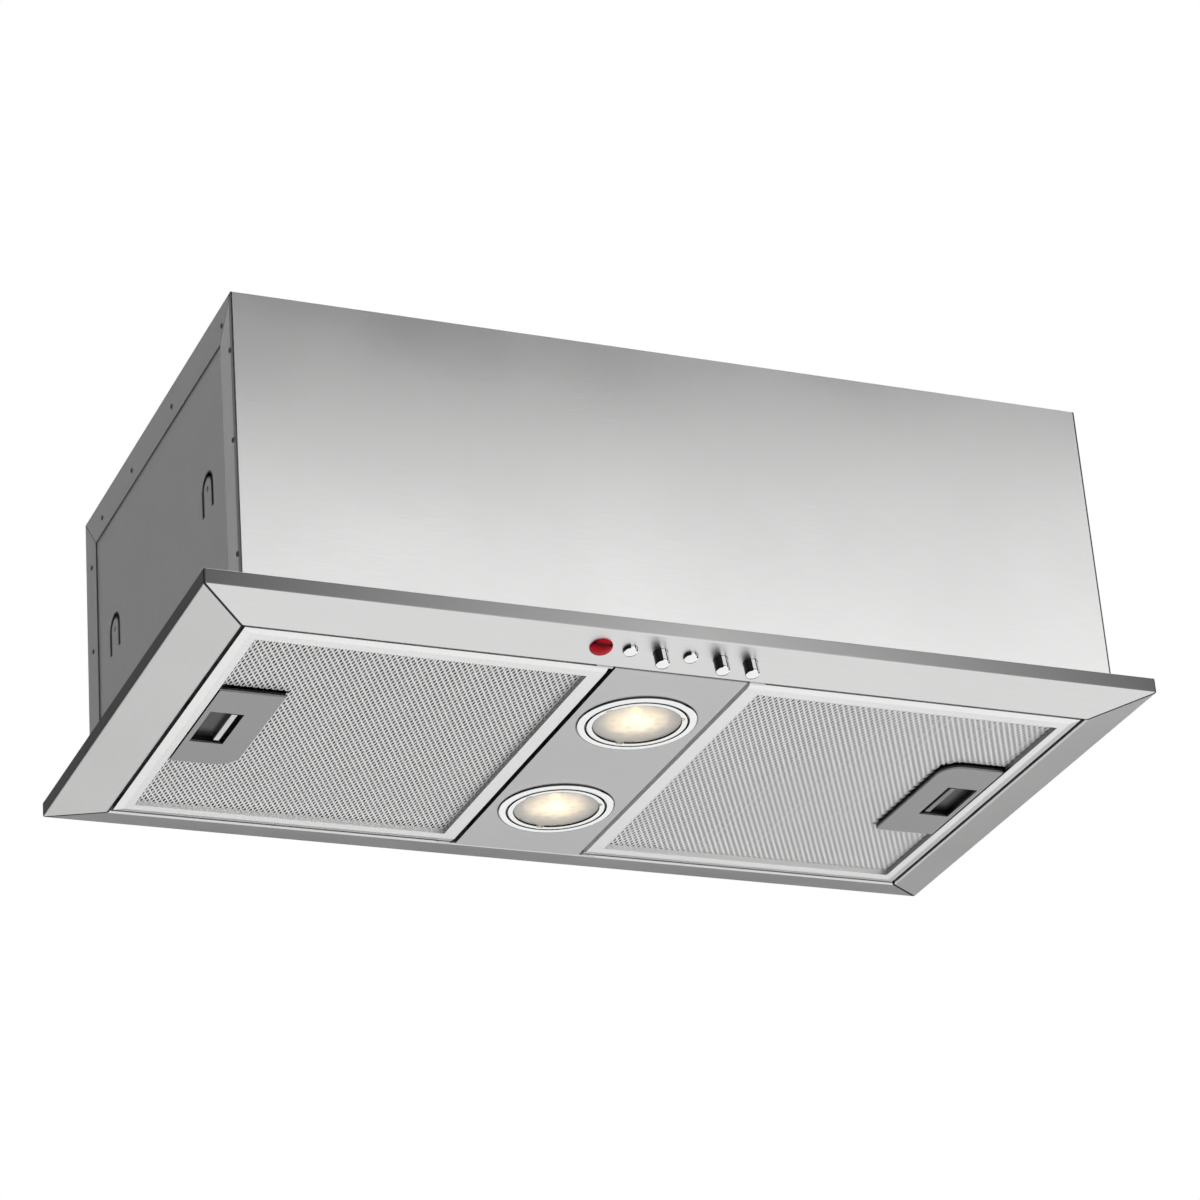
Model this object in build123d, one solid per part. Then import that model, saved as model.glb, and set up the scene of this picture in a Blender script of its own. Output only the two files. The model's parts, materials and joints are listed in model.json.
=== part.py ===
from build123d import *
import math
import os

# Built-in range hood, the kind that is pushed up into a cutout in the underside of a wall cabinet.
# Sizes are in millimetres. X runs to the right seen from the front, Y to the back and Z up.
# z = 0 is the top of the flange, which lies against the underside of the cabinet.
# The origin is the middle of that top face.

# Cutting shapes stand past the surface that they open by this much
cut_over = 1.0

# Flange: four mitred rails of folded sheet
flange_width = 730.0
flange_depth = 400.0
rim_height = 12.0
rail_width = 39.0
rail_drop = 9.0
rail_sheet = 1.0
rail_bend = 1.5
mitre_gap = 0.8
seat_lip = 9.0
seat_clearance = 2.0
corner_plate_arm = 50.0
corner_plate_width = 7.0
corner_plate_sheet = 1.5

# Box that goes inside the cabinet
side_overhang = 30.0
front_overhang = 11.0
back_overhang = 25.0
body_height = 225.0
body_sheet = 1.0
tuck = 10.0
strip_width = 26.0
strip_height = 28.0
rivet_head = 2.2
rivet_head_height = 0.9
top_rivet_edge = 16.0
front_rivet_edge = 6.0
back_rivet_edge = 15.0
top_rivet_shares = (0.058, 0.385, 0.662, 0.876)
side_rivet_shares = (0.098, 0.489, 0.804)
hook_spacing = 228.0
hook_base = 86.0
hook_height = 30.0
hook_width = 24.0
hook_slot = 3.0
hook_hole = 2.1

# Centre panel and lamps
panel_width = 102.0
panel_end_gap = 0.8
panel_sheet = 1.0
panel_tab = 10.0
panel_screw = 1.5
panel_screw_head = 3.4
panel_screw_head_height = 2.0
panel_screw_spread = 70.0
panel_screw_clearance = 0.4
lamp_spacing = 157.0
bezel_radius = 45.0
bezel_height = 1.8
can_radius = 39.2
can_sheet = 1.2
can_height = 57.0
can_ledge = 2.4
ring_groove = 1.0
ring_hole = 32.5
ring_height = 3.4
ring_notch = 2.2
glass_thickness = 3.0
glass_boss = 2.0
bulb_radius = 25.0
bulb_gap = 2.0
bulb_base = 9.5
holder_radius = 14.0
holder_depth = 14.0
lamp_clearance = 0.3

# Controls, set square to the slope of the front rail
control_inset = 18.5
pilot_x = -70.4
button_x = -48.2
button_pitch = 23.1
button_radius = 5.35
button_length = 27.0
button_dome = 1.8
button_crown = 3.2
button_crown_drop = 0.5
button_proud = 12.0
button_travel = 8.0
button_clearance = 0.25
pilot_radius = 8.5
pilot_crown = 5.1
pilot_crown_drop = 0.9
pilot_dome = 4.5
pilot_edge = 1.5
pilot_neck = 5.0
pilot_neck_length = 14.0
bank_height = 27.0
bank_clearance = 1.5
bank_back = 12.0
bank_end = 13.0

# Filter cassettes, written for the left one
filter_gap = 3.0
filter_inner_gap = 4.0
filter_height = 10.0
filter_sheet = 0.8
lip_end = 12.0
lip_centre = 11.0
lip_side = 14.5
lip_top = 8.0
bevel_width = 6.0
bevel_rise = 1.2
mesh_sheet = 0.6
mesh_rise = 4.5
mesh_fit = 1.7
mesh_long_pitch = 48.0
mesh_short_pitch = 32.0
inner_long_pitch = 72.0
inner_short_pitch = 48.0
mesh_strand = 4.0
pleat_sheet = 0.4
pleat_pitch = 7.5
pin_radius = 2.0
pin_head = 2.6
pin_head_height = 1.0
pin_reach = 2.5
pin_inset = 4.0
pin_rise = 5.0
pin_clearance = 0.05
hook_plate = 2.0
hook_plate_side = 4.0

# Filter latch
latch_length = 48.5
latch_span = 120.0
latch_gap = 1.5
latch_corner = 16.0
latch_sheet = 0.8
latch_edge = 3.2
latch_mesh_gap = 3.0
finger_length = 25.0
finger_span = 51.0
finger_inset = 4.0
slider_thickness = 2.5
slider_rise = 5.5
slider_span = 56.0
slider_end = 3.5
slider_clearance = 0.2
bolt_span = 30.0
bolt_engagement = 3.0
slot_clearance = 0.7
ridge_width = 4.0
ridge_span = 44.0
ridge_inset = 4.0
guide_length = 22.0
guide_overlap = 4.0
arm_width = 18.0
arm_spacing = 88.0
spring_room = 13.8
spring_strip = 0.4
spring_width = 10.0
spring_sway = 2.1
spring_waves = 3

# Blower
fan_y = -28.0
fan_z = 140.0
fan_radius = 62.0
fan_half = 49.0
fan_bore = 53.0
blade_count = 24
blade_sheet = 0.8
blade_sweep = 11.0
fan_ring_width = 2.0
fan_ring_depth = 10.0
fan_disc_sheet = 1.5
hub_radius = 9.0
hub_length = 14.0
shaft_radius = 4.0
shaft_clearance = 0.05
scroll_start = 72.0
scroll_growth = 12.0
scroll_half = 53.0
scroll_sheet = 1.0
inlet_radius = 50.0
inlet_lip = 7.0
casing_flange = 9.0
motor_radius = 34.0
motor_length = 66.0
motor_nose = 12.0
motor_nose_length = 4.0
motor_front = -12.0
bracket_sheet = 2.0
bracket_width = 12.0
bracket_band = 10.0
bracket_foot = 57.0
capacitor_radius = 12.0
capacitor_length = 42.0

# Outlet and mains entry
collar_radius = 59.5
collar_sheet = 1.0
collar_height = 45.0
collar_flange = 10.0
collar_flange_sheet = 1.2
flap_height = 11.0
flap_radius = 57.0
flap_sheet = 1.2
flap_ledge = 2.5
flap_ledge_gap = 0.3
flap_pin_radius = 1.5
flap_pin_clearance = 0.1
knuckle_wall = 1.2
knuckle_gap = 0.5
knuckle_length = 25.5
terminal_x = 245.0
terminal_y = 115.0
terminal_length = 80.0
terminal_depth = 50.0
terminal_height = 40.0
gland_radius = 11.0
gland_thread = 8.0
gland_bore = 4.5
gland_height = 18.0
gland_cap = 9.0
gland_reach = 9.0

# Places that follow from the sizes above
rail_bottom = -(rim_height + rail_drop)
slope_angle = math.degrees(math.atan(rail_drop / rail_width))
opening_x = flange_width / 2 - rail_width
opening_y = flange_depth / 2 - rail_width
body_width = flange_width - 2 * side_overhang
body_front = front_overhang - flange_depth / 2
body_back = flange_depth / 2 - back_overhang
body_middle = (body_front + body_back) / 2
side_seat = body_width / 2 - body_sheet
top_under = body_height - body_sheet
filter_out = -(opening_x - filter_gap)
filter_in = -(panel_width / 2 + filter_inner_gap)
filter_side = opening_y - filter_gap
filter_top = rail_bottom + filter_height
mesh_low = rail_bottom + mesh_rise
lip_under = filter_top + seat_clearance
pin_x = filter_in - pin_inset
pin_z = rail_bottom + pin_rise
latch_out = filter_out + lip_end + latch_gap
latch_in = latch_out + latch_length
finger_out = latch_out + finger_inset
finger_in = finger_out + finger_length
bolt_low = rail_bottom + slider_rise
bolt_high = bolt_low + slider_thickness
slider_in = finger_in + slider_end
bezel_face = rail_bottom - bezel_height
glass_under = bezel_face + ring_height
bank_front = control_inset - front_overhang - bank_clearance
can_inner = can_radius - can_sheet
can_top = rail_bottom + can_height
bulb_top = can_top - can_sheet - holder_depth
bulb_face = glass_under + glass_thickness + bulb_gap
scroll_step = scroll_growth / 2
duct_front = fan_y - scroll_step
duct_back = fan_y + scroll_step + scroll_start + 2 * scroll_growth
duct_y = (duct_front + duct_back) / 2
motor_rear = motor_front - motor_length
shaft_tail = motor_rear + motor_length / 3
flap_z = body_height + flap_height
knuckle_radius = flap_pin_radius + flap_pin_clearance + knuckle_wall


def block(x0, x1, y0, y1, z0, z1):
    """Block between two corners."""
    centre = Pos((x0 + x1) / 2, (y0 + y1) / 2, (z0 + z1) / 2)
    return centre * Box(abs(x1 - x0), abs(y1 - y0), abs(z1 - z0))


def rod(x, y, z0, z1, radius):
    """Upright round bar."""
    return Pos(x, y, (z0 + z1) / 2) * Cylinder(radius, z1 - z0)


def outline(points):
    """Flat face with straight sides through the points."""
    return make_face(Polyline(*points, close=True))


def rectangle(x0, x1, y0, y1):
    """Flat rectangle between two corners."""
    return outline([(x0, y0), (x1, y0), (x1, y1), (x0, y1)])


def sheet_face(points, thickness):
    """Section of folded sheet: the line of points, thickened to its left."""
    line = [Vector(*point) for point in points]
    normals = []
    for start, end in zip(line, line[1:]):
        along = (end - start).normalized()
        normals.append(Vector(-along.Y, along.X))
    shifts = [normals[0]]
    for before, after in zip(normals, normals[1:]):
        shifts.append((before + after) * (1 / (1 + before.dot(after))))
    shifts.append(normals[-1])
    far_side = [point + shift * thickness for point, shift in zip(line, shifts)]
    return outline(line + far_side[::-1])


def bend(section, corner, radius, thickness):
    """Section with one fold rounded: the radius outside, less the sheet inside."""
    inner = section.vertices().sort_by_distance(corner)[1].center()
    section = fillet(section.vertices().sort_by_distance(corner)[0], radius)
    inner_radius = max(radius - thickness, thickness / 5)
    return fillet(section.vertices().sort_by_distance(inner)[0], inner_radius)


def spun(points):
    """Solid turned about Z from an outline of radius and height."""
    return revolve(Plane.XZ * outline(points), Axis.Z)


def tube(outer, inner, z0, z1):
    """Straight tube about Z."""
    return spun([(inner, z0), (outer, z0), (outer, z1), (inner, z1)])


def along_x(shape, y, z):
    """A shape made about Z, laid along X with its top to the right."""
    return Pos(0, y, z) * Rot(0, 90, 0) * shape


def along_y(shape, x, z):
    """A shape made about Z, laid along Y with its top to the back."""
    return Pos(x, 0, z) * Rot(-90, 0, 0) * shape


def both_ways(shape, plane):
    """A shape and its mirror image."""
    return [shape, mirror(shape, about=plane)]


def turned_round(shape):
    """The same piece at the other end of the hood, half a turn about Z."""
    return Rot(0, 0, 180) * shape


def rail_blank(length, reach, overhang, wall_half):
    """One rail along X at the front: folded section, mitred ends, tuck flange behind the box wall."""
    path = [
        (overhang, -tuck),
        (overhang, 0),
        (0, 0),
        (0, -rim_height),
        (rail_width, rail_bottom),
        (rail_width, lip_under),
        (rail_width + seat_lip, lip_under),
    ]
    section = sheet_face(path, rail_sheet)
    for corner in path[2:5]:
        section = bend(section, corner, rail_bend, rail_sheet)
    start = Plane(origin=(-length / 2, -reach, 0), x_dir=(0, 1, 0), z_dir=(1, 0, 0))
    blank = extrude(start * section, length)
    half = length / 2 - mitre_gap * math.sqrt(0.5)
    depth = rail_width + seat_lip + rail_sheet
    wedge = outline([(-half, 0), (half, 0), (half - depth, depth), (depth - half, depth)])
    blank &= Pos(0, -reach, 2 * rail_bottom) * extrude(wedge, -3 * rail_bottom)
    flange_y = overhang - reach
    low = -tuck - cut_over
    end = block(wall_half, length, flange_y - rail_sheet, flange_y + cut_over, low, -rail_sheet)
    return blank - both_ways(end, Plane.YZ)


def pin_seats():
    """Open hooks on the front rail's inner wall for the hinge pins of both filters."""
    bore_radius = pin_radius + pin_clearance
    half = bore_radius + hook_plate_side
    top = pin_z + 2 * pin_radius
    plate = block(pin_x - half, pin_x + half, -opening_y, hook_plate - opening_y, rail_bottom, top)
    plate -= block(pin_x - bore_radius, pin_x + bore_radius, -opening_y, 0, pin_z, top)
    plate -= along_y(rod(0, 0, -opening_y, 0, bore_radius), pin_x, pin_z)
    return both_ways(plate, Plane.YZ)


def long_rail(overhang):
    """Front or back rail, made at the front: pin seats and the holes for the centre panel's screws."""
    rail = rail_blank(flange_width, flange_depth / 2, overhang, body_width / 2) + pin_seats()
    return rail - panel_screw_drills(lip_under - rail_sheet, lip_under + 2 * rail_sheet)


def make_front_rail():
    """Front rail, drilled for the pilot lamp and the buttons."""
    rail = long_rail(front_overhang)
    drill = Cylinder(button_radius + button_clearance, rail_drop)
    rail -= [control_place(x) * drill for x in button_places()]
    return rail - control_place(pilot_x) * Cylinder(pilot_neck, rail_drop)


def make_back_rail():
    """Back rail, the front one turned round and with its own overhang."""
    return turned_round(long_rail(back_overhang))


def make_right_rail():
    """End rail with the strike slot that the filter's bolt enters."""
    rail = rail_blank(flange_depth, flange_width / 2, side_overhang, flange_depth / 2)
    half = bolt_span / 2 + slot_clearance
    wall = -opening_x
    low = bolt_low - slot_clearance
    high = bolt_high + slot_clearance
    rail -= block(-half, half, wall - rail_sheet - cut_over, wall + cut_over, low, high)
    return Rot(0, 0, 90) * rail


def make_corner_plates():
    """L-shaped plates under the top of the flange that join neighbouring rails."""
    x = flange_width / 2 - 2 * rail_sheet
    y = flange_depth / 2 - 2 * rail_sheet
    low = -rail_sheet - corner_plate_sheet
    arm = corner_plate_arm
    width = corner_plate_width
    plate = block(x - arm, x, y - width, y, low, -rail_sheet)
    plate += block(x - width, x, y - arm, y, low, -rail_sheet)
    pair = both_ways(plate, Plane.XZ)
    return pair + [mirror(one, about=Plane.YZ) for one in pair]


def rivet_places():
    """Places of the rivets on one side of the box, as (y, z)."""
    depth = body_back - body_front
    top = body_height - top_rivet_edge
    places = [(body_front + share * depth, top) for share in top_rivet_shares]
    for share in side_rivet_shares:
        places.append((body_front + front_rivet_edge, share * body_height))
        places.append((body_back - back_rivet_edge, share * body_height))
    return places


def make_rivets():
    """Heads of the blind rivets that join the folded strips and the side panels."""
    seat = body_width / 2
    shape = rod(0, 0, seat, seat + rivet_head_height, rivet_head)
    right = [along_x(shape, y, z) for y, z in rivet_places()]
    return right + [mirror(rivet, about=Plane.YZ) for rivet in right]


def wall_strip(wall_y, inward, gap):
    """Outline of the strip folded back from the front or back panel, its mitre moved by a gap."""
    return outline([
        (wall_y, -tuck),
        (wall_y + inward * (strip_width + gap), -tuck),
        (wall_y + inward * (strip_width + gap), body_height - strip_height),
        (wall_y + inward * gap, body_height),
    ])


def make_wall_panel(wall_y, inward):
    """Front or back of the box: a flat face with both ends folded over the side panels."""
    half = body_width / 2
    panel = block(-half, half, wall_y, wall_y + inward * body_sheet, -tuck, body_height)
    strip = wall_strip(wall_y, inward, 0)
    side = extrude(Plane.YZ.offset(side_seat) * strip, body_sheet)
    return panel + both_ways(side, Plane.YZ)


def make_top_panel():
    """Top of the box, its ends folded down over the sides, with the outlet and mains holes."""
    y0 = body_front + body_sheet
    y1 = body_back - body_sheet
    panel = block(-body_width / 2, body_width / 2, y0, y1, top_under, body_height)
    strip = rectangle(y0, y1, body_height - strip_height, body_height)
    strip -= wall_strip(body_front, 1, mitre_gap)
    strip -= wall_strip(body_back, -1, mitre_gap)
    side = extrude(Plane.YZ.offset(side_seat) * strip, body_sheet)
    panel += both_ways(side, Plane.YZ)
    panel -= rod(0, duct_y, 0, 2 * body_height, collar_radius - collar_sheet)
    return panel - rod(terminal_x, terminal_y, 0, 2 * body_height, gland_thread)


def hook_outline(radius):
    """Outline of a hook: an upright tongue with a round top, its foot at the origin."""
    straight = hook_height - hook_width / 2
    tongue = rectangle(-radius, radius, 0, straight)
    return tongue + Pos(0, straight) * Circle(radius)


def make_right_side_panel():
    """Side of the box behind the folded strips, with two hooks cut free at their sides and top."""
    inner = side_seat - body_sheet
    panel = block(inner, side_seat, body_front + body_sheet, body_back - body_sheet, -tuck, top_under)
    slot = hook_outline(hook_width / 2) - hook_outline(hook_width / 2 - hook_slot)
    slot += Pos(0, hook_height - hook_width / 2) * Circle(hook_hole)
    for y in (body_middle - hook_spacing / 2, body_middle + hook_spacing / 2):
        cut = Plane.YZ.offset(inner) * (Pos(y, hook_base) * slot)
        panel -= extrude(cut, body_sheet)
    return panel


def panel_screw_places():
    """Places of the four screws that hold the centre panel to the seat lips."""
    y = opening_y - panel_end_gap - panel_sheet - panel_screw_head - panel_screw_clearance
    x = panel_screw_spread / 2
    return [(-x, -y), (x, -y), (-x, y), (x, y)]


def panel_screw_drills(low, high):
    """Round bars at the centre panel's screws."""
    return [rod(x, y, low, high, panel_screw) for x, y in panel_screw_places()]


def make_centre_panel():
    """Tray between the filters: folded sides, end tabs under the seat lips, two lamp holes."""
    half = panel_width / 2
    end = opening_y - panel_end_gap
    sheet = panel_sheet
    tray = block(-half, half, -end, end, rail_bottom, lip_under)
    tray -= block(sheet - half, half - sheet, sheet - end, end - sheet, rail_bottom + sheet, 0)
    tab = block(-half, half, end - panel_tab, end, lip_under - sheet, lip_under)
    tray += both_ways(tab, Plane.XZ)
    tray -= panel_screw_drills(lip_under - sheet, lip_under)
    for y in (-lamp_spacing / 2, lamp_spacing / 2):
        tray -= rod(0, y, rail_bottom, rail_bottom + sheet, can_radius)
    return tray


def make_panel_screws():
    """Screws up through the centre panel's end tabs."""
    seat = lip_under - panel_sheet
    shape = spun([
        (0, seat - panel_screw_head_height),
        (panel_screw_head, seat - panel_screw_head_height),
        (panel_screw_head, seat),
        (panel_screw, seat),
        (panel_screw, lip_under + 3 * rail_sheet),
        (0, lip_under + 3 * rail_sheet),
    ])
    return [Pos(x, y, 0) * shape for x, y in panel_screw_places()]


def make_lamp_housing():
    """Lamp bezel and can in one: bevelled flange, step that the glass stops on, holed top."""
    step = glass_under + glass_thickness
    mouth = bulb_base + can_sheet
    return spun([
        (can_inner, bezel_face),
        (bezel_radius - bezel_height, bezel_face),
        (bezel_radius, rail_bottom),
        (can_radius, rail_bottom),
        (can_radius, can_top),
        (mouth, can_top),
        (mouth, can_top - can_sheet),
        (can_inner - can_ledge, can_top - can_sheet),
        (can_inner - can_ledge, step),
        (can_inner, step),
    ])


def make_lamp_ring():
    """Screwed ring that holds the glass, with three finger notches."""
    ring = tube(can_inner - ring_groove, ring_hole, bezel_face, glass_under)
    notch = Pos(0, ring_hole) * Circle(ring_notch)
    for turn in (0, 120, 240):
        ring -= Pos(0, 0, bezel_face) * extrude(Rot(0, 0, turn) * notch, ring_height / 2)
    return ring


def make_lamp_glass():
    """Round lamp glass, its thicker middle standing in the ring's hole."""
    edge = can_inner - lamp_clearance
    top = glass_under + glass_thickness
    glass = rod(0, 0, glass_under, top, edge)
    return glass + rod(0, 0, glass_under - glass_boss, glass_under, ring_hole - lamp_clearance)


def make_lamp_bulb():
    """Reflector bulb: round face, tapered body and base."""
    length = bulb_top - bulb_face
    return spun([
        (0, bulb_face),
        (bulb_radius, bulb_face),
        (bulb_radius, bulb_face + length / 5),
        (bulb_base, bulb_top - bulb_base),
        (bulb_base, bulb_top),
        (0, bulb_top),
    ])


def make_lampholder():
    """Ceramic holder under the can's top, bored for the bulb's base."""
    roof = can_top - can_sheet
    low = bulb_top - bulb_base / 2
    bore = bulb_base + lamp_clearance
    return spun([
        (0, bulb_top),
        (bore, bulb_top),
        (bore, low),
        (holder_radius, low),
        (holder_radius, roof),
        (0, roof),
    ])


def control_place(x):
    """Place of a control on the front rail, its Z square to the slope and into the hood."""
    y = control_inset - flange_depth / 2
    z = -rim_height - rail_drop * control_inset / rail_width
    return Pos(x, y, z) * Rot(-slope_angle, 0, 0)


def button_places():
    """Distance along X of each of the five buttons."""
    return [button_x + step * button_pitch for step in range(5)]


def make_switch_bank():
    """Switch block behind the front rail, bored for the pilot lamp and the buttons."""
    x0 = pilot_x - bank_end
    x1 = button_places()[-1] + bank_end
    bank = control_place(0) * block(x0, x1, -bank_front, bank_back, rail_sheet, bank_height)
    depth = button_length - button_proud + button_travel + cut_over
    bore = rod(0, 0, 0, depth, button_radius + button_clearance)
    bank -= [control_place(x) * bore for x in button_places()]
    return bank - control_place(pilot_x) * rod(0, 0, 0, pilot_neck_length, pilot_neck)


def make_button(x, out):
    """Round push button with a domed tip, standing out of the rail by the given height."""
    radius = button_radius
    tip = -out
    edge = button_dome - out
    end = button_length - out
    crown = (button_crown, tip + button_crown_drop)
    return control_place(x) * spun([(0, tip), crown, (radius, edge), (radius, end), (0, end)])


def make_pilot_lens():
    """Domed lens of the pilot lamp with a round neck into the switch bank."""
    lens = spun([
        (0, -pilot_dome),
        (pilot_crown, pilot_crown_drop - pilot_dome),
        (pilot_radius, -pilot_edge),
        (pilot_radius, 0),
        (pilot_neck, 0),
        (pilot_neck, pilot_neck_length),
        (0, pilot_neck_length),
    ])
    return control_place(pilot_x) * lens


def channel_block(shrink):
    """The filter frame's outer block, or its hollow when shrunk, bevelled below on three sides."""
    x0 = filter_out + shrink
    x1 = filter_in - shrink
    y = filter_side - shrink
    low = rail_bottom + shrink
    shoulder = low + bevel_rise
    foot = Pos(0, 0, low) * rectangle(x0 + bevel_width, x1, bevel_width - y, y - bevel_width)
    rim = Pos(0, 0, shoulder) * rectangle(x0, x1, -y, y)
    return loft([foot, rim], ruled=True) + block(x0, x1, -y, y, shoulder, filter_top - shrink)


def window_block(margin, low, high):
    """Block through the filter frame's lower window, grown by a margin."""
    x0 = filter_out + lip_end - margin
    x1 = filter_in - lip_centre + margin
    y = filter_side - lip_side + margin
    return block(x0, x1, -y, y, low, high)


def make_filter_frame():
    """Folded channel frame: bevelled lower lip turned up to the mesh, outer wall, narrower top lip."""
    sheet = filter_sheet
    frame = channel_block(0) - channel_block(sheet)
    under = rail_bottom - cut_over
    frame -= window_block(0, under, rail_bottom + 2 * sheet)
    frame += window_block(sheet, rail_bottom, mesh_low) - window_block(0, under, 0)
    side = filter_side - lip_top
    frame -= block(filter_out + lip_top, filter_in - lip_top, -side, side, filter_top - 2 * sheet, 0)
    half = bolt_span / 2 + slider_clearance
    slot_low = bolt_low - slider_clearance
    slot_high = bolt_high + slider_clearance
    frame -= block(filter_out - cut_over, filter_out + 2 * sheet, -half, half, slot_low, slot_high)
    return frame - along_y(rod(0, 0, -flange_depth, flange_depth, pin_radius), pin_x, pin_z)


def make_hinge_pins():
    """Headed pins through the frame's ends."""
    head = filter_side - filter_sheet
    shape = spun([
        (0, head - pin_head_height),
        (pin_head, head - pin_head_height),
        (pin_head, head),
        (pin_radius, head),
        (pin_radius, filter_side + pin_reach),
        (0, filter_side + pin_reach),
    ])
    return both_ways(along_y(shape, pin_x, pin_z), Plane.XZ)


def latch_room():
    """Outline of the room that the filter's layers leave for the latch."""
    half = latch_span / 2 + latch_mesh_gap
    return rectangle(filter_out, latch_in + latch_mesh_gap, -half, half)


def mesh_outline():
    """Outline of a mesh: the frame's inside less the room for the latch."""
    inset = filter_sheet + mesh_fit
    side = filter_side - inset
    return rectangle(filter_out + inset, filter_in - inset, -side, side) - latch_room()


def diamonds(long_pitch, short_pitch):
    """Holes of an expanded mesh: staggered diamonds inside the frame's window and clear of the latch."""
    reach = math.hypot(long_pitch, short_pitch) / (long_pitch * short_pitch)
    share = 1 - mesh_strand * reach
    half_long = share * long_pitch / 2
    half_short = share * short_pitch / 2
    x0 = filter_out + lip_end + mesh_strand + half_long
    x1 = filter_in - lip_centre - mesh_strand - half_long
    y1 = filter_side - lip_side - mesh_strand - half_short
    latch_x = latch_in + latch_mesh_gap + mesh_strand + half_long
    latch_y = latch_span / 2 + latch_mesh_gap + mesh_strand + half_short
    holes = []
    columns = int((x1 - x0) / (long_pitch / 2))
    rows = int(2 * y1 / (short_pitch / 2))
    for column in range(columns + 1):
        x = (x0 + x1) / 2 + (column - columns / 2) * long_pitch / 2
        for row in range(column % 2, rows + 1, 2):
            y = (row - rows / 2) * short_pitch / 2
            if x > latch_x or abs(y) > latch_y:
                ends = [(x - half_long, y), (x, y - half_short), (x + half_long, y), (x, y + half_short)]
                holes.append(outline(ends))
    return holes


def make_mesh(low, long_pitch, short_pitch):
    """Expanded mesh sheet at a height, its diamonds of the given pitch."""
    holes = diamonds(long_pitch, short_pitch)
    return Pos(0, 0, low) * extrude(mesh_outline() - holes, mesh_sheet)


def make_filter_pleats():
    """Pleated aluminium layer between the two meshes, its folds along Y."""
    low = mesh_low + mesh_sheet
    high = filter_top - filter_sheet - mesh_sheet - 2 * pleat_sheet
    x0 = filter_out + filter_sheet + mesh_fit
    x1 = filter_in - filter_sheet - mesh_fit
    folds = 2 * round((x1 - x0) / pleat_pitch)
    points = [
        (x0 + fold * (x1 - x0) / folds, high if fold % 2 else low) for fold in range(folds + 1)
    ]
    side = filter_side - filter_sheet - mesh_fit
    pleats = extrude(Plane.XZ.offset(-side) * sheet_face(points, pleat_sheet), 2 * side)
    return pleats - Pos(0, 0, mesh_low) * extrude(latch_room(), filter_height)


def make_latch_plate():
    """Latch plate: shallow pan with a finger opening, slider guides, spring stop and two fixing arms."""
    sheet = latch_sheet
    half = latch_span / 2
    floor = rail_bottom + sheet
    shape = rectangle(latch_out, latch_in, -half, half)
    shape = fillet(shape.vertices().sort_by_distance((latch_in, half))[0], latch_corner)
    plate = Pos(0, 0, rail_bottom) * extrude(shape, latch_edge)
    plate -= Pos(0, 0, floor) * extrude(offset(shape, -sheet), latch_edge)
    finger = finger_span / 2
    walls_top = bolt_low - slider_clearance
    side = finger + sheet
    plate += block(finger_out - sheet, finger_in, -side, side, rail_bottom, walls_top)
    plate -= block(finger_out, finger_in + cut_over, -finger, finger, floor, walls_top)
    plate -= block(finger_out, finger_in, -finger, finger, rail_bottom - cut_over, floor)
    guide_in = slider_span / 2 + slider_clearance
    guide_x = finger_out + slider_end
    roof = bolt_high + slider_clearance
    guide = block(guide_x, guide_x + guide_length, guide_in, guide_in + sheet, rail_bottom, roof + sheet)
    guide += block(
        guide_x,
        guide_x + guide_length,
        guide_in - guide_overlap,
        guide_in + sheet,
        roof,
        roof + sheet,
    )
    arm_y = arm_spacing / 2 - arm_width / 2
    arm_top = filter_top - filter_sheet
    arm_end = filter_out + filter_sheet + mesh_fit
    arm = block(latch_out, latch_out + sheet, arm_y, arm_y + arm_width, rail_bottom, arm_top)
    arm += block(arm_end, latch_out + sheet, arm_y, arm_y + arm_width, arm_top - sheet, arm_top)
    plate += both_ways(guide, Plane.XZ) + both_ways(arm, Plane.XZ)
    stop_x = slider_in + spring_room
    stop = spring_width / 2 + sheet
    return plate + block(stop_x, stop_x + sheet, -stop, stop, rail_bottom, bolt_high)


def make_latch_slider():
    """Slider with the bolt that enters the end rail and the ridge that the finger pulls."""
    start = finger_out - latch_sheet
    half = slider_span / 2
    slider = block(start, slider_in, -half, half, bolt_low, bolt_high)
    tip = -opening_x - bolt_engagement
    slider += block(tip, start, -bolt_span / 2, bolt_span / 2, bolt_low, bolt_high)
    ridge = finger_in - ridge_inset
    low = rail_bottom + latch_sheet + slider_clearance
    half = ridge_span / 2
    return slider + block(ridge - ridge_width, ridge, -half, half, low, bolt_low)


def make_latch_spring():
    """Folded leaf spring between the slider and its stop."""
    middle = (bolt_low + bolt_high) / 2
    step = spring_room / (2 * spring_waves)
    points = [(slider_in, middle)]
    for fold in range(2 * spring_waves - 1):
        sway = spring_sway if fold % 2 else -spring_sway
        points.append((slider_in + (fold + 1) * step, middle + sway))
    points.append((slider_in + spring_room, middle))
    strip = sheet_face(points, spring_strip)
    half = spring_width / 2
    spring = Pos(0, half, 0) * extrude(Plane.XZ * strip, spring_width)
    room = block(slider_in, slider_in + spring_room, -half, half, 2 * rail_bottom, 0)
    return spring & room


def scroll_region(wall, top):
    """Outline of the scroll and duct, grown by a wall: quarter arcs about a small square's corners."""
    step = scroll_step
    first = scroll_start + wall
    second = first + scroll_growth
    third = second + scroll_growth
    begin = 90 + math.degrees(math.asin(wall / first))
    front = duct_front - wall
    back = duct_back + wall
    nose = fan_z - step + math.sqrt(first**2 - wall**2)
    return make_face([
        CenterArc((fan_y - step, fan_z - step), first, begin, 180 - begin),
        CenterArc((fan_y + step, fan_z - step), second, 180, 90),
        CenterArc((fan_y + step, fan_z + step), third, 270, 90),
        Polyline((back, fan_z + step), (back, top), (front, top), (front, nose)),
    ])


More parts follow.
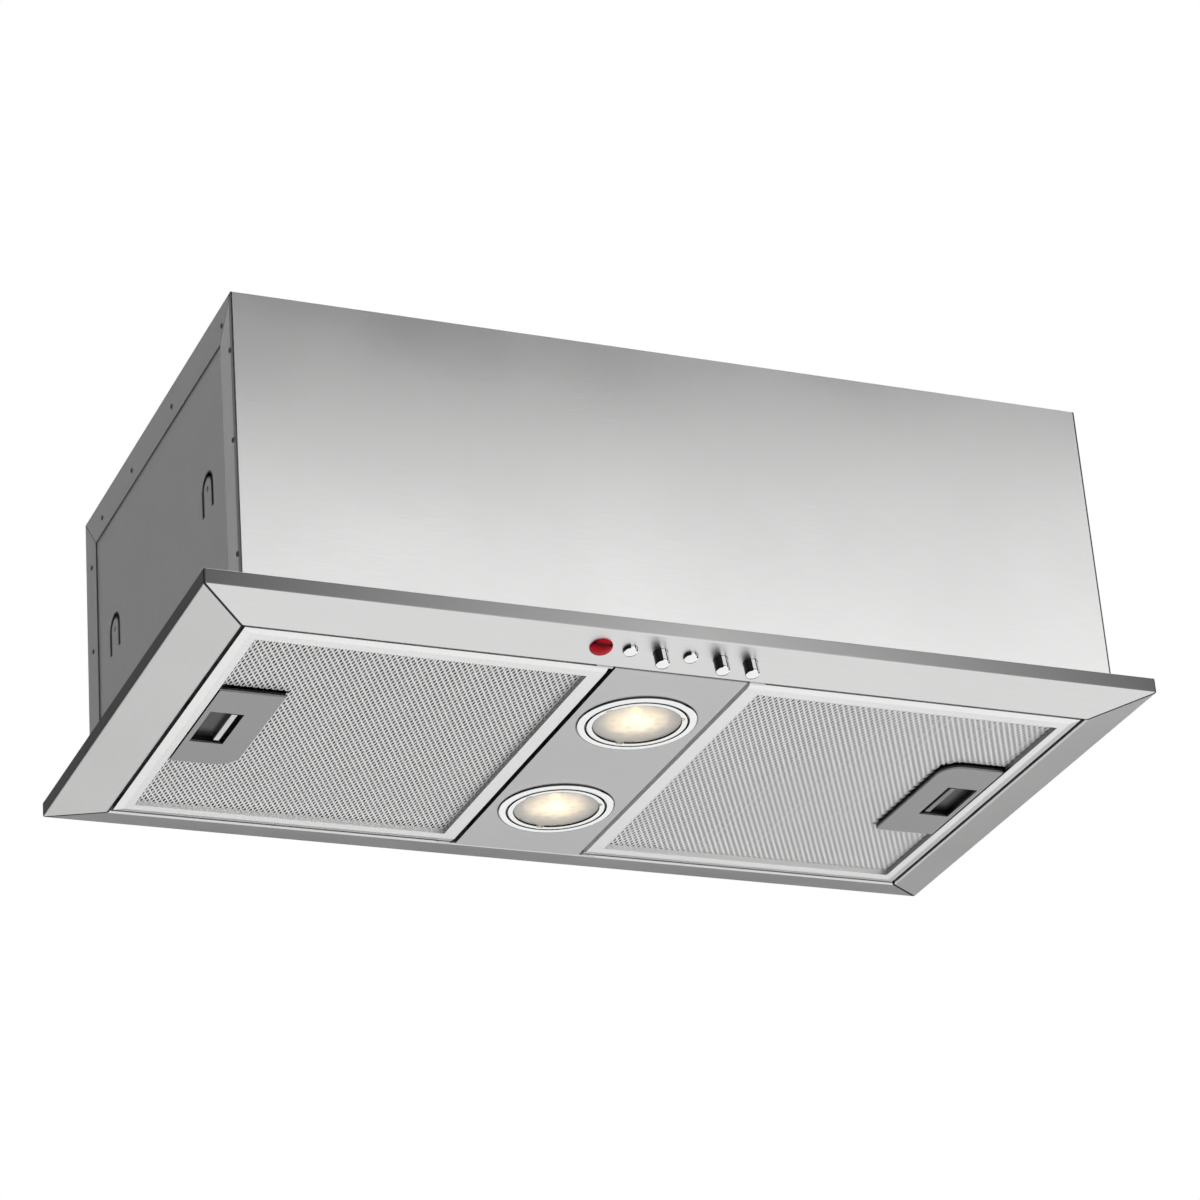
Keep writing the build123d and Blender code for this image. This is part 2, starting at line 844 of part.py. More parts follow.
def make_right_casing():
    """Right half of the blower casing: scroll wall, cheek with a rolled inlet, flange under the top."""
    inside = scroll_half - scroll_sheet
    shell = extrude(Plane.YZ * scroll_region(scroll_sheet, top_under), scroll_half)
    rim = casing_flange
    flange = block(
        0,
        scroll_half + rim,
        duct_front - rim,
        duct_back + rim,
        top_under - scroll_sheet,
        top_under,
    )
    shell += flange
    shell -= extrude(Plane.YZ * scroll_region(0, body_height), inside)
    lip = inlet_radius + scroll_sheet
    shell += along_x(tube(lip, inlet_radius, scroll_half - inlet_lip, scroll_half), fan_y, fan_z)
    return shell - along_x(rod(0, 0, 0, 2 * scroll_half, inlet_radius), fan_y, fan_z)


def make_motor():
    """Motor inside the left inlet, bored for the shaft."""
    edge = motor_radius - 2 * motor_nose_length
    bore = shaft_radius + shaft_clearance
    nose = motor_front + motor_nose_length
    shape = spun([
        (0, motor_rear),
        (edge, motor_rear),
        (motor_radius, motor_rear + 2 * motor_nose_length),
        (motor_radius, motor_front),
        (motor_nose, motor_front),
        (motor_nose, nose),
        (bore, nose),
        (bore, shaft_tail - cut_over),
        (0, shaft_tail - cut_over),
    ])
    return along_x(shape, fan_y, fan_z)


def make_motor_bracket():
    """Band round the motor with three arms and feet on the left cheek."""
    sheet = bracket_sheet
    band_x = motor_rear + 2 * motor_nose_length
    half_band = bracket_band / 2
    bracket = tube(motor_radius + sheet, motor_radius, band_x - half_band, band_x + half_band)
    half = bracket_width / 2
    seat = -scroll_half
    arm = block(motor_radius + sheet / 2, bracket_foot, -half, half, band_x, band_x + sheet)
    arm += block(bracket_foot - sheet, bracket_foot, -half, half, band_x, seat)
    arm += block(bracket_foot - sheet, bracket_foot + half, -half, half, seat - sheet, seat)
    for turn in (0, 120, 240):
        bracket += Rot(0, 0, turn) * arm
    return along_x(bracket, fan_y, fan_z)


def make_shaft():
    """Motor shaft, carried in the motor and fixed in the fan's hub."""
    return along_x(rod(0, 0, shaft_tail, hub_length, shaft_radius), fan_y, fan_z)


def make_fan():
    """Double-inlet fan: forward-curved blades between two rings, on a disc with a hub."""
    steps = 2
    points = []
    for step in range(steps + 1):
        share = step / steps
        radius = fan_bore + share * (fan_radius - fan_bore - blade_sheet)
        angle = math.radians(blade_sweep * share**2)
        points.append((radius * math.cos(angle), radius * math.sin(angle)))
    blade = Pos(0, 0, -fan_half) * extrude(sheet_face(points, blade_sheet), 2 * fan_half)
    fan = tube(fan_radius - blade_sheet, shaft_radius, -fan_disc_sheet / 2, fan_disc_sheet / 2)
    fan += tube(hub_radius, shaft_radius, -motor_nose_length, hub_length - motor_nose_length)
    ring = tube(fan_radius, fan_radius - fan_ring_depth, fan_half - fan_ring_width, fan_half)
    blades = [Rot(0, 0, turn * 360 / blade_count) * blade for turn in range(blade_count)]
    fan += blades + both_ways(ring, Plane.XY)
    return along_x(fan, fan_y, fan_z)


def make_capacitor():
    """Run capacitor on the right cheek of the casing."""
    length = capacitor_length
    shape = Pos(0, 0, scroll_half + length / 2) * Cylinder(capacitor_radius, length)
    return along_x(shape, fan_y - scroll_start - scroll_growth + capacitor_radius, fan_z)


def make_terminal_box():
    """Mains terminal box under the top panel, with the hole that the gland screws into."""
    half_x = terminal_length / 2
    half_y = terminal_depth / 2
    low = top_under - terminal_height
    box = block(-half_x, half_x, -half_y, half_y, low, top_under)
    box = chamfer(box.faces().sort_by(Axis.Z)[0].edges(), 2 * body_sheet)
    return Pos(terminal_x, terminal_y) * box - rod(
        terminal_x, terminal_y, top_under - gland_reach, body_height, gland_thread
    )


def make_cable_gland():
    """Cable gland: threaded neck down through the top, hexagon nut and round cap, bored for a cable."""
    middle = body_height + gland_height / 2
    gland = Pos(0, 0, body_height) * extrude(RegularPolygon(gland_radius, 6), gland_height / 2)
    gland += rod(0, 0, top_under - gland_reach, body_height, gland_thread)
    gland += rod(0, 0, middle, body_height + gland_height, gland_cap)
    return Pos(terminal_x, terminal_y) * (gland - rod(0, 0, 0, 2 * body_height, gland_bore))


def make_outlet_collar():
    """Spigot for the duct: flange on the top panel, thin wall, ledge that the flaps close on."""
    inner = collar_radius - collar_sheet
    top = body_height + collar_height
    ledge = flap_z - flap_sheet / 2 - flap_ledge_gap
    collar = spun([
        (inner, body_height),
        (collar_radius + collar_flange, body_height),
        (collar_radius + collar_flange, body_height + collar_flange_sheet),
        (collar_radius, body_height + collar_flange_sheet),
        (collar_radius, top),
        (inner, top),
        (inner, ledge),
        (inner - flap_ledge, ledge),
        (inner - flap_ledge, ledge - collar_sheet),
        (inner, ledge - collar_sheet),
    ])
    pin = along_x(Cylinder(flap_pin_radius, 3 * collar_radius), 0, flap_z)
    return Pos(0, duct_y) * (collar - pin)


def make_flap_pin():
    """Pin across the collar that both flaps turn on."""
    length = 2 * math.sqrt(collar_radius**2 - flap_pin_radius**2) - collar_sheet
    return along_x(Cylinder(flap_pin_radius, length), duct_y, flap_z)


def make_back_flap():
    """Half-round flap behind the pin, with two knuckles that alternate with the other flap's."""
    clear = knuckle_radius + knuckle_gap
    plate = Circle(flap_radius) & rectangle(-flap_radius, flap_radius, clear, flap_radius)
    starts = (-2 * knuckle_length - knuckle_gap, knuckle_gap / 2)
    for start in starts:
        plate += rectangle(start, start + knuckle_length, 0, 2 * clear)
    flap = Pos(0, 0, -flap_sheet / 2) * extrude(plate, flap_sheet)
    for start in starts:
        flap += along_x(rod(0, 0, start, start + knuckle_length, knuckle_radius), 0, 0)
    flap -= along_x(Cylinder(flap_pin_radius + flap_pin_clearance, 3 * flap_radius), 0, 0)
    return Pos(0, duct_y, flap_z) * flap


def make_front_flap():
    """The back flap turned round the middle of the duct."""
    return Pos(0, duct_y, 0) * turned_round(Pos(0, -duct_y, 0) * make_back_flap())


def make_nodes():
    """All pieces by name."""
    right_side = make_right_side_panel()
    right_rail = make_right_rail()
    right_casing = make_right_casing()
    nodes = {
        "front_panel": make_wall_panel(body_front, 1),
        "back_panel": make_wall_panel(body_back, -1),
        "top_panel": make_top_panel(),
        "right_side_panel": right_side,
        "left_side_panel": mirror(right_side, about=Plane.YZ),
        "body_rivets": make_rivets(),
        "front_rail": make_front_rail(),
        "back_rail": make_back_rail(),
        "right_rail": right_rail,
        "left_rail": turned_round(right_rail),
        "corner_plates": make_corner_plates(),
        "centre_panel": make_centre_panel(),
        "panel_screws": make_panel_screws(),
        "switch_bank": make_switch_bank(),
        "pilot_lens": make_pilot_lens(),
        "right_blower_casing": right_casing,
        "left_blower_casing": mirror(right_casing, about=Plane.YZ),
        "motor": make_motor(),
        "motor_bracket": make_motor_bracket(),
        "motor_shaft": make_shaft(),
        "fan": make_fan(),
        "capacitor": make_capacitor(),
        "terminal_box": make_terminal_box(),
        "cable_gland": make_cable_gland(),
        "outlet_collar": make_outlet_collar(),
        "flap_pin": make_flap_pin(),
        "back_flap": make_back_flap(),
        "front_flap": make_front_flap(),
    }
    lamp_pieces = {
        "lamp_housing": make_lamp_housing(),
        "lamp_ring": make_lamp_ring(),
        "lamp_glass": make_lamp_glass(),
        "lamp_bulb": make_lamp_bulb(),
        "lampholder": make_lampholder(),
    }
    for name, piece in lamp_pieces.items():
        nodes["front_" + name] = Pos(0, -lamp_spacing / 2) * piece
        nodes["back_" + name] = Pos(0, lamp_spacing / 2) * piece
    low = button_proud - button_travel
    stances = {
        "light_button": low,
        "off_button": button_proud,
        "speed_1_button": low,
        "speed_2_button": button_proud,
        "speed_3_button": button_proud,
    }
    for x, (name, out) in zip(button_places(), stances.items()):
        nodes[name] = make_button(x, out)
    inner_low = filter_top - filter_sheet - mesh_sheet
    filter_pieces = {
        "filter_frame": [make_filter_frame()],
        "hinge_pins": make_hinge_pins(),
        "outer_mesh": [make_mesh(mesh_low, mesh_long_pitch, mesh_short_pitch)],
        "filter_pleats": [make_filter_pleats()],
        "inner_mesh": [make_mesh(inner_low, inner_long_pitch, inner_short_pitch)],
        "latch_plate": [make_latch_plate()],
        "latch_slider": [make_latch_slider()],
        "latch_spring": [make_latch_spring()],
    }
    for name, pieces in filter_pieces.items():
        nodes["left_" + name] = pieces
        nodes["right_" + name] = [turned_round(piece) for piece in pieces]
    return nodes


os.makedirs("parts", exist_ok=True)
for node, shape in make_nodes().items():
    pieces = shape if isinstance(shape, list) else [shape]
    solids = [solid for piece in pieces for solid in piece.solids()]
    whole = solids[0] if len(solids) == 1 else Compound(children=solids)
    export_step(whole, f"parts/{node}.step")
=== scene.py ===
import math
import json

import bmesh
import bpy
import numpy as np
from mathutils import Matrix, Vector


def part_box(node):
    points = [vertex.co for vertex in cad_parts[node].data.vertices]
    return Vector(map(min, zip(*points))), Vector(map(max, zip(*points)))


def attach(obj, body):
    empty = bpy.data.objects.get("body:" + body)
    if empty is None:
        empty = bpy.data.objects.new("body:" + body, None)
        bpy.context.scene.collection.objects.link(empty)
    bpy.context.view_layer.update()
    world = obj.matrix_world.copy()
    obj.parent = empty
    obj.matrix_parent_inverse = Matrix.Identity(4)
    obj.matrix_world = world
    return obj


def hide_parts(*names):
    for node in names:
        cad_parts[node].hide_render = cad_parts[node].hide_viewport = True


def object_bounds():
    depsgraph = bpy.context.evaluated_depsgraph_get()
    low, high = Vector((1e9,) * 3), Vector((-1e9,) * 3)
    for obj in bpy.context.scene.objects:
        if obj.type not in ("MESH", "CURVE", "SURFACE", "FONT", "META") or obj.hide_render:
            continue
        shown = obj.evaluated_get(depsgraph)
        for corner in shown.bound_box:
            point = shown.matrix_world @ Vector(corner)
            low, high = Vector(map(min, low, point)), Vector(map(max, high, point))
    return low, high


bl_info = {
    "name": "Built-in range hood",
    "version": (1, 0, 0),
    "blender": (4, 5, 0),
    "location": "View3D > Sidebar > Hood",
    "description": "Surfaces, finishes and stage of a built-in range hood, made round its packed frame",
    "category": "Object",
}

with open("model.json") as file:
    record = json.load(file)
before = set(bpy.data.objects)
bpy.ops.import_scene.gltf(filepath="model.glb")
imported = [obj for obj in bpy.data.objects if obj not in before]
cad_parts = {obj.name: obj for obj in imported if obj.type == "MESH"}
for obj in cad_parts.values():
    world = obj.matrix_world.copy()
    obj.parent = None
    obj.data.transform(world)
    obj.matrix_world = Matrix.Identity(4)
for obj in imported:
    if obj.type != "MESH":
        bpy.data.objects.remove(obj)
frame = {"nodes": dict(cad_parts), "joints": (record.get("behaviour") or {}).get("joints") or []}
CAD_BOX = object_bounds()
NODES = frame["nodes"]
JOINTS = {joint["name"]: joint for joint in frame["joints"]}
SIDES = ("left", "right")
LAMPS = ("front", "back")
BUTTONS = ("light", "off", "speed_1", "speed_2", "speed_3")
SHEET = 0.0012
CAPSULE, CAPSULE_RISE = 0.0045, 0.0050

# Half the range of roughness in the clouds and in the speckle, and the depth of the grain
CLOUD_SWING = 0.08
SPECKLE_SWING = 0.05
GRAIN_DEPTH = 0.0005

# Places on the box that its finishes pick out: dark cut edges, painted shade on the bend at the front, and
# painted shadow round the hooks
BOX_INSET = CAD_BOX[1].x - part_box("front_panel")[1].x
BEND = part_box("front_panel")[0].y + 0.0045
BEND_SHADE = 0.7
SIDE_MIDDLE = (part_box("left_side_panel")[0].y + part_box("left_side_panel")[1].y) / 2
HOOK_OFFSET, HOOK_FOOT, HOOK_CENTRE, HOOK_RADIUS, HOOK_HALF = 0.114, 0.086, 0.104, 0.0105, 0.0028

# Places on the flange. The rim's tone, painted shade, is a factor and an offset of |x|, and the mitres' seams
# are dark
RIM_LOW = -0.0118
RIM_SHADE_FADE = (1.7, 0.30)
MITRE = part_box("right_rail")[1].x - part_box("back_rail")[1].y
MITRE_HALF = 0.0014

# Places on the filters and their latches, with painted shade on the frames' walls and in a latch's pocket,
# and painted light on its pull bar
PANEL_GAP, PANEL_GAP_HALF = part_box("centre_panel")[1].x + 0.002, 0.0045
LATCH_CORNER = 0.016
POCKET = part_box("left_latch_plate")[0].z + 0.0015
BAR_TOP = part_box("left_latch_slider")[0].z + 0.0012

# Rings round a lamp's axis: painted shade at the outer edge and in each groove, each groove with its middle
# and half its width, and the painted light of the bulb's glow
LAMP_Y = (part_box("back_lamp_ring")[0].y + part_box("back_lamp_ring")[1].y) / 2
GLOW_RADIUS, GLOW_POWER, GLOW_CELLS = 0.032, 1.5, 130.0
SHADOW_GAP_RADIUS = 0.0440
LAMP_GROOVES = ((0.0375, 0.0008), (0.0323, 0.0004))

# Ways that the painted dark reflections on a button and the painted shade band of the pilot lens face, as
# parts of a normal
REFLECTION_LEFT, REFLECTION_RIGHT, REFLECTION_HALF = -0.27, 0.32, 0.09
SHADE_MIDDLE, SHADE_SLOPE = -0.62, 2.8


# Shapes

def fill_mesh(mesh, vertices, quads):
    """Whole arrays of points and four-sided faces put into a mesh."""
    count = len(quads)
    mesh.vertices.add(len(vertices))
    mesh.vertices.foreach_set("co", np.ascontiguousarray(vertices, np.float32).ravel())
    mesh.loops.add(count * 4)
    mesh.loops.foreach_set("vertex_index", np.ascontiguousarray(quads, np.int32).ravel())
    mesh.polygons.add(count)
    mesh.polygons.foreach_set("loop_start", np.arange(0, count * 4, 4, dtype=np.int32))
    mesh.update(calc_edges=True)


def new_piece(name, vertices, quads, material, body, smooth=30.0):
    """Object from arrays of points and faces, doubles merged, on a body. Smooth under the given angle."""
    mesh = bpy.data.meshes.new(name)
    fill_mesh(mesh, vertices, quads)
    form = bmesh.new()
    form.from_mesh(mesh)
    bmesh.ops.remove_doubles(form, verts=form.verts, dist=1e-6)
    bmesh.ops.dissolve_degenerate(form, edges=form.edges, dist=1e-6)
    bmesh.ops.recalc_face_normals(form, faces=form.faces)
    form.to_mesh(mesh)
    form.free()
    mesh.polygons.foreach_set("use_smooth", np.full(len(mesh.polygons), smooth > 0))
    if smooth > 0:
        mesh.set_sharp_from_angle(angle=math.radians(smooth))
    mesh.materials.append(material)
    piece = bpy.data.objects.new(name, mesh)
    bpy.context.scene.collection.objects.link(piece)
    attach(piece, body)
    return piece


def grid_quads(rows, columns, wrap_rows, wrap_columns):
    """Faces of a grid of points, closed round in either direction where asked."""
    row = np.arange(rows if wrap_rows else rows - 1)
    column = np.arange(columns if wrap_columns else columns - 1)
    r, c = np.meshgrid(row, column, indexing="ij")
    r1, c1 = (r + 1) % rows, (c + 1) % columns
    corners = [r * columns + c, r1 * columns + c, r1 * columns + c1, r * columns + c1]
    return np.stack(corners, -1).reshape(-1, 4)


def softened(profile, radius, steps=4):
    """Open profile with its inner corners rounded, each by a parabola between two tangent points."""
    points = [np.asarray(point, float) for point in profile]
    line = [points[0]]
    for before, corner, after in zip(points, points[1:], points[2:]):
        into, out = before - corner, after - corner
        reach_in = min(radius, np.linalg.norm(into) * 0.45)
        reach_out = min(radius, np.linalg.norm(out) * 0.45)
        start = corner + into / np.linalg.norm(into) * reach_in
        end = corner + out / np.linalg.norm(out) * reach_out
        t = np.linspace(0, 1, steps + 1)[:, None]
        line.extend((1 - t) ** 2 * start + 2 * t * (1 - t) * corner + t**2 * end)
    line.append(points[-1])
    return np.array(line)


def spun(profile, segments=96):
    """Surface of revolution about Z: (r cos a, r sin a, h) over the profile's (r, h) and a full turn."""
    r, h = np.asarray(profile, float).T
    a = np.linspace(0, 2 * np.pi, segments, endpoint=False)[:, None]
    grid = np.stack([r * np.cos(a), r * np.sin(a), np.broadcast_to(h, (segments, len(h)))], -1)
    return grid.reshape(-1, 3), grid_quads(segments, len(h), True, False)


def placed(points, origin, axis):
    """Points made about Z, with Z laid along the axis and the zero point at the origin."""
    turn = Vector(axis).to_track_quat("Z", "Y").to_matrix()
    return np.asarray(points) @ np.array(turn).T + np.array(origin)


def joined(parts):
    """Several (points, faces) pairs as one."""
    points, faces, count = [], [], 0
    for vertices, quads in parts:
        points.append(vertices)
        faces.append(quads + count)
        count += len(vertices)
    return np.concatenate(points), np.concatenate(faces)


def centre_of(node):
    low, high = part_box(node)
    return (low + high) / 2


# Finishes

def socket(group, name, kind, way, value=None):
    made = group.interface.new_socket(name, in_out=way, socket_type=kind)
    if value is not None:
        made.default_value = value
    return made


def link(tree, source, target):
    tree.links.new(source, target)


def math_node(tree, operation, *values, clamp=False):
    """Output of a math node whose inputs are numbers or the outputs of other nodes."""
    node = tree.nodes.new("ShaderNodeMath")
    node.operation = operation
    node.use_clamp = clamp
    for target, value in zip(node.inputs, values):
        if isinstance(value, (int, float)):
            target.default_value = value
        else:
            link(tree, value, target)
    return node.outputs[0]


def scaled(tree, value, factor, offset):
    """value * factor + offset"""
    return math_node(tree, "MULTIPLY_ADD", value, factor, offset)


def size_of(tree, value):
    return math_node(tree, "ABSOLUTE", value)


def within(tree, value, middle, half):
    """1 where the value is no further than half from the middle, 0 elsewhere."""
    return math_node(tree, "COMPARE", value, middle, half)


def distance(tree, across, along):
    """sqrt(across**2 + along**2)"""
    squares = [math_node(tree, "MULTIPLY", value, value) for value in (across, along)]
    return math_node(tree, "SQRT", math_node(tree, "ADD", *squares))


def mixed(tree, share, first, second):
    """First shader where the share is 0, second where it is 1."""
    mix = tree.nodes.new("ShaderNodeMixShader")
    for target, value in zip(mix.inputs, (share, first, second)):
        link(tree, value, target)
    return mix.outputs[0]


def tinted(tree, colour, tone):
    """A plain colour times a tone."""
    tint = tree.nodes.new("ShaderNodeVectorMath")
    tint.operation = "SCALE"
    tint.inputs[0].default_value = colour[:3]
    link(tree, tone, tint.inputs["Scale"])
    return tint.outputs[0]


def grain_group():
    """Brushed grain: noise drawn out along the rolling direction, and slow clouds of handling and grease."""
    group = bpy.data.node_groups.new("brushed_grain", "ShaderNodeTree")
    socket(group, "Stretch", "NodeSocketVector", "INPUT", (1, 1, 1))
    socket(group, "Cloud Scale", "NodeSocketFloat", "INPUT", 6.0)
    socket(group, "Grain", "NodeSocketFloat", "OUTPUT")
    socket(group, "Cloud", "NodeSocketFloat", "OUTPUT")
    entry = group.nodes.new("NodeGroupInput")
    exit_node = group.nodes.new("NodeGroupOutput")
    place = group.nodes.new("ShaderNodeTexCoord")
    stretch = group.nodes.new("ShaderNodeVectorMath")
    stretch.operation = "MULTIPLY"
    link(group, place.outputs["Object"], stretch.inputs[0])
    link(group, entry.outputs["Stretch"], stretch.inputs[1])
    fine = group.nodes.new("ShaderNodeTexNoise")
    fine.inputs["Scale"].default_value = 1.0
    fine.inputs["Detail"].default_value = 4.0
    fine.inputs["Roughness"].default_value = 0.62
    link(group, stretch.outputs[0], fine.inputs["Vector"])
    slow = group.nodes.new("ShaderNodeTexNoise")
    slow.inputs["Detail"].default_value = 2.5
    link(group, place.outputs["Object"], slow.inputs["Vector"])
    link(group, entry.outputs["Cloud Scale"], slow.inputs["Scale"])
    link(group, fine.outputs["Fac"], exit_node.inputs["Grain"])
    link(group, slow.outputs["Fac"], exit_node.inputs["Cloud"])
    return group


def masks_group():
    """Places where a finish paints shade or light, from the object's coordinates and its normal.

    Cut Edge: sheared edges of the folded strips, made dark, and painted shade on the bend at the front.
    Hook: painted shadow round the outline of the lanced hooks.
    Rim: painted shade on the edge of the flange, stronger towards its ends, and the dark seams of its mitres.
    Wall: painted shade on faces towards +X and -X, but for those of Gap, at the right of the centre panel.
    Pocket, Bar: painted shade on the floor of a latch's pocket, and painted light on the pull bar in it.
    Streak: painted dark reflections along the buttons.
    Shade: a painted shade band on the pilot lens, which fades as 1 - slope |ny - middle|.
    Seal: painted shade in the grooves of the lamp rings and at the bezels' outer edge.
    Glow: painted light of the bulb, 1 on a lamp's axis and 0 at the radius R, as (1 - r / R)**power, broken
    up by cells."""
    group = bpy.data.node_groups.new("place_masks", "ShaderNodeTree")
    place = group.nodes.new("ShaderNodeTexCoord")
    at = group.nodes.new("ShaderNodeSeparateXYZ")
    link(group, place.outputs["Object"], at.inputs[0])
    facing = group.nodes.new("ShaderNodeSeparateXYZ")
    link(group, place.outputs["Normal"], facing.inputs[0])
    x, y, z = size_of(group, at.outputs["X"]), size_of(group, at.outputs["Y"]), at.outputs["Z"]
    edge_on = math_node(group, "LESS_THAN", size_of(group, facing.outputs["X"]), 0.5)
    sideways = math_node(group, "SUBTRACT", 1.0, edge_on)
    upright = math_node(group, "LESS_THAN", size_of(group, facing.outputs["Z"]), 0.5)
    off_axis = math_node(group, "SUBTRACT", y, LAMP_Y)
    radius = distance(group, x, off_axis)
    in_gap = within(group, at.outputs["X"], PANEL_GAP, PANEL_GAP_HALF)
    gap_wall = math_node(group, "MULTIPLY", sideways, in_gap)
    masks = {
        "Cut Edge And Bend Shade": cut_edge_and_bend_shade_mask(group, x, at.outputs["Y"], edge_on, sideways),
        "Hook": hook_shadow_mask(group, at.outputs["Y"], z),
        "Rim Shade And Seam": rim_shade_and_seam_mask(group, x, y, z, upright),
        "Wall Shade": math_node(group, "SUBTRACT", sideways, gap_wall),
        "Gap": gap_wall,
        "Pocket Shade": math_node(group, "GREATER_THAN", z, POCKET),
        "Lit Bar": math_node(group, "LESS_THAN", z, BAR_TOP),
        "Reflection Streak": reflection_streak_mask(group, facing.outputs["X"], upright),
        "Shade": shade_mask(group, facing.outputs["Y"]),
        "Groove Shade": groove_shade_mask(group, radius),
        "Glow": glow_mask(group, radius, place.outputs["Object"]),
    }
    for name in masks:
        socket(group, name, "NodeSocketFloat", "OUTPUT")
    exit_node = group.nodes.new("NodeGroupOutput")
    for name, value in masks.items():
        link(group, value, exit_node.inputs[name])
    return group


# Sheared edges made dark, and painted shade on the bend at the front.
def cut_edge_and_bend_shade_mask(group, x, y, edge_on, sideways):
    outside = math_node(group, "GREATER_THAN", x, CAD_BOX[1].x - BOX_INSET - SHEET)
    cut = math_node(group, "MULTIPLY", edge_on, outside)
    bend = math_node(group, "MULTIPLY", sideways, math_node(group, "LESS_THAN", y, BEND))
    return math_node(group, "MAXIMUM", cut, math_node(group, "MULTIPLY", bend, BEND_SHADE))


# Painted shadow round the outline of each lanced hook.
def hook_shadow_mask(group, y, z):
    aside = size_of(group, math_node(group, "SUBTRACT", y, SIDE_MIDDLE))
    aside = math_node(group, "SUBTRACT", aside, HOOK_OFFSET)
    above = math_node(group, "MAXIMUM", math_node(group, "SUBTRACT", z, HOOK_CENTRE), 0.0)
    outline = within(group, distance(group, aside, above), HOOK_RADIUS, HOOK_HALF)
    return math_node(group, "MULTIPLY", outline, math_node(group, "GREATER_THAN", z, HOOK_FOOT))


# Painted shade on the flange's rim, stronger towards its ends, and dark seams at the mitres.
def rim_shade_and_seam_mask(group, x, y, z, upright):
    high = math_node(group, "GREATER_THAN", z, RIM_LOW)
    edge = math_node(group, "MULTIPLY", upright, high)
    edge = math_node(group, "MULTIPLY", edge, scaled(group, x, *RIM_SHADE_FADE))
    seam = within(group, math_node(group, "SUBTRACT", x, y), MITRE, MITRE_HALF)
    return math_node(group, "MAXIMUM", edge, seam)


# Painted dark reflections along the sides of the buttons.
def reflection_streak_mask(group, nx, upright):
    left = math_node(group, "LESS_THAN", nx, REFLECTION_LEFT)
    right = within(group, nx, REFLECTION_RIGHT, REFLECTION_HALF)
    return math_node(group, "MULTIPLY", upright, math_node(group, "MAXIMUM", left, right))


def shade_mask(group, ny):
    away = size_of(group, math_node(group, "SUBTRACT", ny, SHADE_MIDDLE))
    return math_node(group, "SUBTRACT", 1.0, math_node(group, "MULTIPLY", away, SHADE_SLOPE), clamp=True)


# Painted shade in the lamp rings' grooves and at the bezels' outer edge.
def groove_shade_mask(group, radius):
    groove_shade = math_node(group, "GREATER_THAN", radius, SHADOW_GAP_RADIUS)
    for middle, half in LAMP_GROOVES:
        groove_shade = math_node(group, "MAXIMUM", groove_shade, within(group, radius, middle, half))
    return groove_shade


def glow_mask(group, radius, place):
    share = math_node(group, "SUBTRACT", 1.0, math_node(group, "DIVIDE", radius, GLOW_RADIUS), clamp=True)
    fall = math_node(group, "POWER", share, GLOW_POWER)
    cells = group.nodes.new("ShaderNodeTexVoronoi")
    cells.inputs["Scale"].default_value = GLOW_CELLS
    link(group, place, cells.inputs["Vector"])
    return math_node(group, "MULTIPLY", fall, scaled(group, cells.outputs["Distance"], 0.9, 0.4))


def effect_node(tree, name, maker):
    """A shared effect put into a material, its group made once."""
    node = tree.nodes.new("ShaderNodeGroup")
    node.node_tree = bpy.data.node_groups.get(name) or maker()
    return node


def masked(tree, tone, mask, masked_tone):
    """Tone, multiplied by the masked tone where the mask is 1."""
    if not mask:
        return tone
    places = effect_node(tree, "place_masks", masks_group)
    return math_node(tree, "MULTIPLY", tone, scaled(tree, places.outputs[mask], masked_tone - 1, 1.0))


def glowing(tree, shader, glow):
    """Painted light of the lit bulb, as emission put on a shader that lies before or behind it."""
    if not glow:
        return
    places = effect_node(tree, "place_masks", masks_group)
    shader.inputs["Emission Color"].default_value = (*bpy.context.scene.hood_colours.glow, 1)
    link(tree, math_node(tree, "MULTIPLY", places.outputs["Glow"], glow), shader.inputs["Emission Strength"])


def metal(
    name, colour, stretch, rough=0.38, grain=0.10, cloud=0.05, bump=0.02, metallic=1.0, cloud_scale=6.0,
    mask=None, masked_tone=1.0, glow=0.0, dull=None,
):
    """Metal whose tone, roughness and height follow the brushed grain and the clouds.

    Its colour is multiplied by the masked tone inside a mask, and it is no metal inside the dull one."""
    material = bpy.data.materials.new(name)
    material.use_nodes = True
    tree = material.node_tree
    shader = tree.nodes["Principled BSDF"]
    shader.inputs["Metallic"].default_value = metallic
    effect = effect_node(tree, "brushed_grain", grain_group)
    effect.inputs["Stretch"].default_value = stretch
    effect.inputs["Cloud Scale"].default_value = cloud_scale
    grain_tone = scaled(tree, effect.outputs["Grain"], 2 * grain, 1 - grain)
    cloud_tone = scaled(tree, effect.outputs["Cloud"], 2 * cloud, 1 - cloud)
    tone = masked(tree, math_node(tree, "MULTIPLY", grain_tone, cloud_tone), mask, masked_tone)
    glowing(tree, shader, glow)
    if dull:
        places = effect_node(tree, "place_masks", masks_group)
        link(tree, scaled(tree, places.outputs[dull], -metallic, metallic), shader.inputs["Metallic"])
    link(tree, tinted(tree, colour, tone), shader.inputs["Base Color"])
    gloss = scaled(tree, effect.outputs["Cloud"], 2 * CLOUD_SWING, rough - CLOUD_SWING)
    link(tree, gloss, shader.inputs["Roughness"])
    relief = tree.nodes.new("ShaderNodeBump")
    relief.inputs["Strength"].default_value = bump
    relief.inputs["Distance"].default_value = GRAIN_DEPTH
    link(tree, effect.outputs["Grain"], relief.inputs["Height"])
    link(tree, relief.outputs["Normal"], shader.inputs["Normal"])
    return material


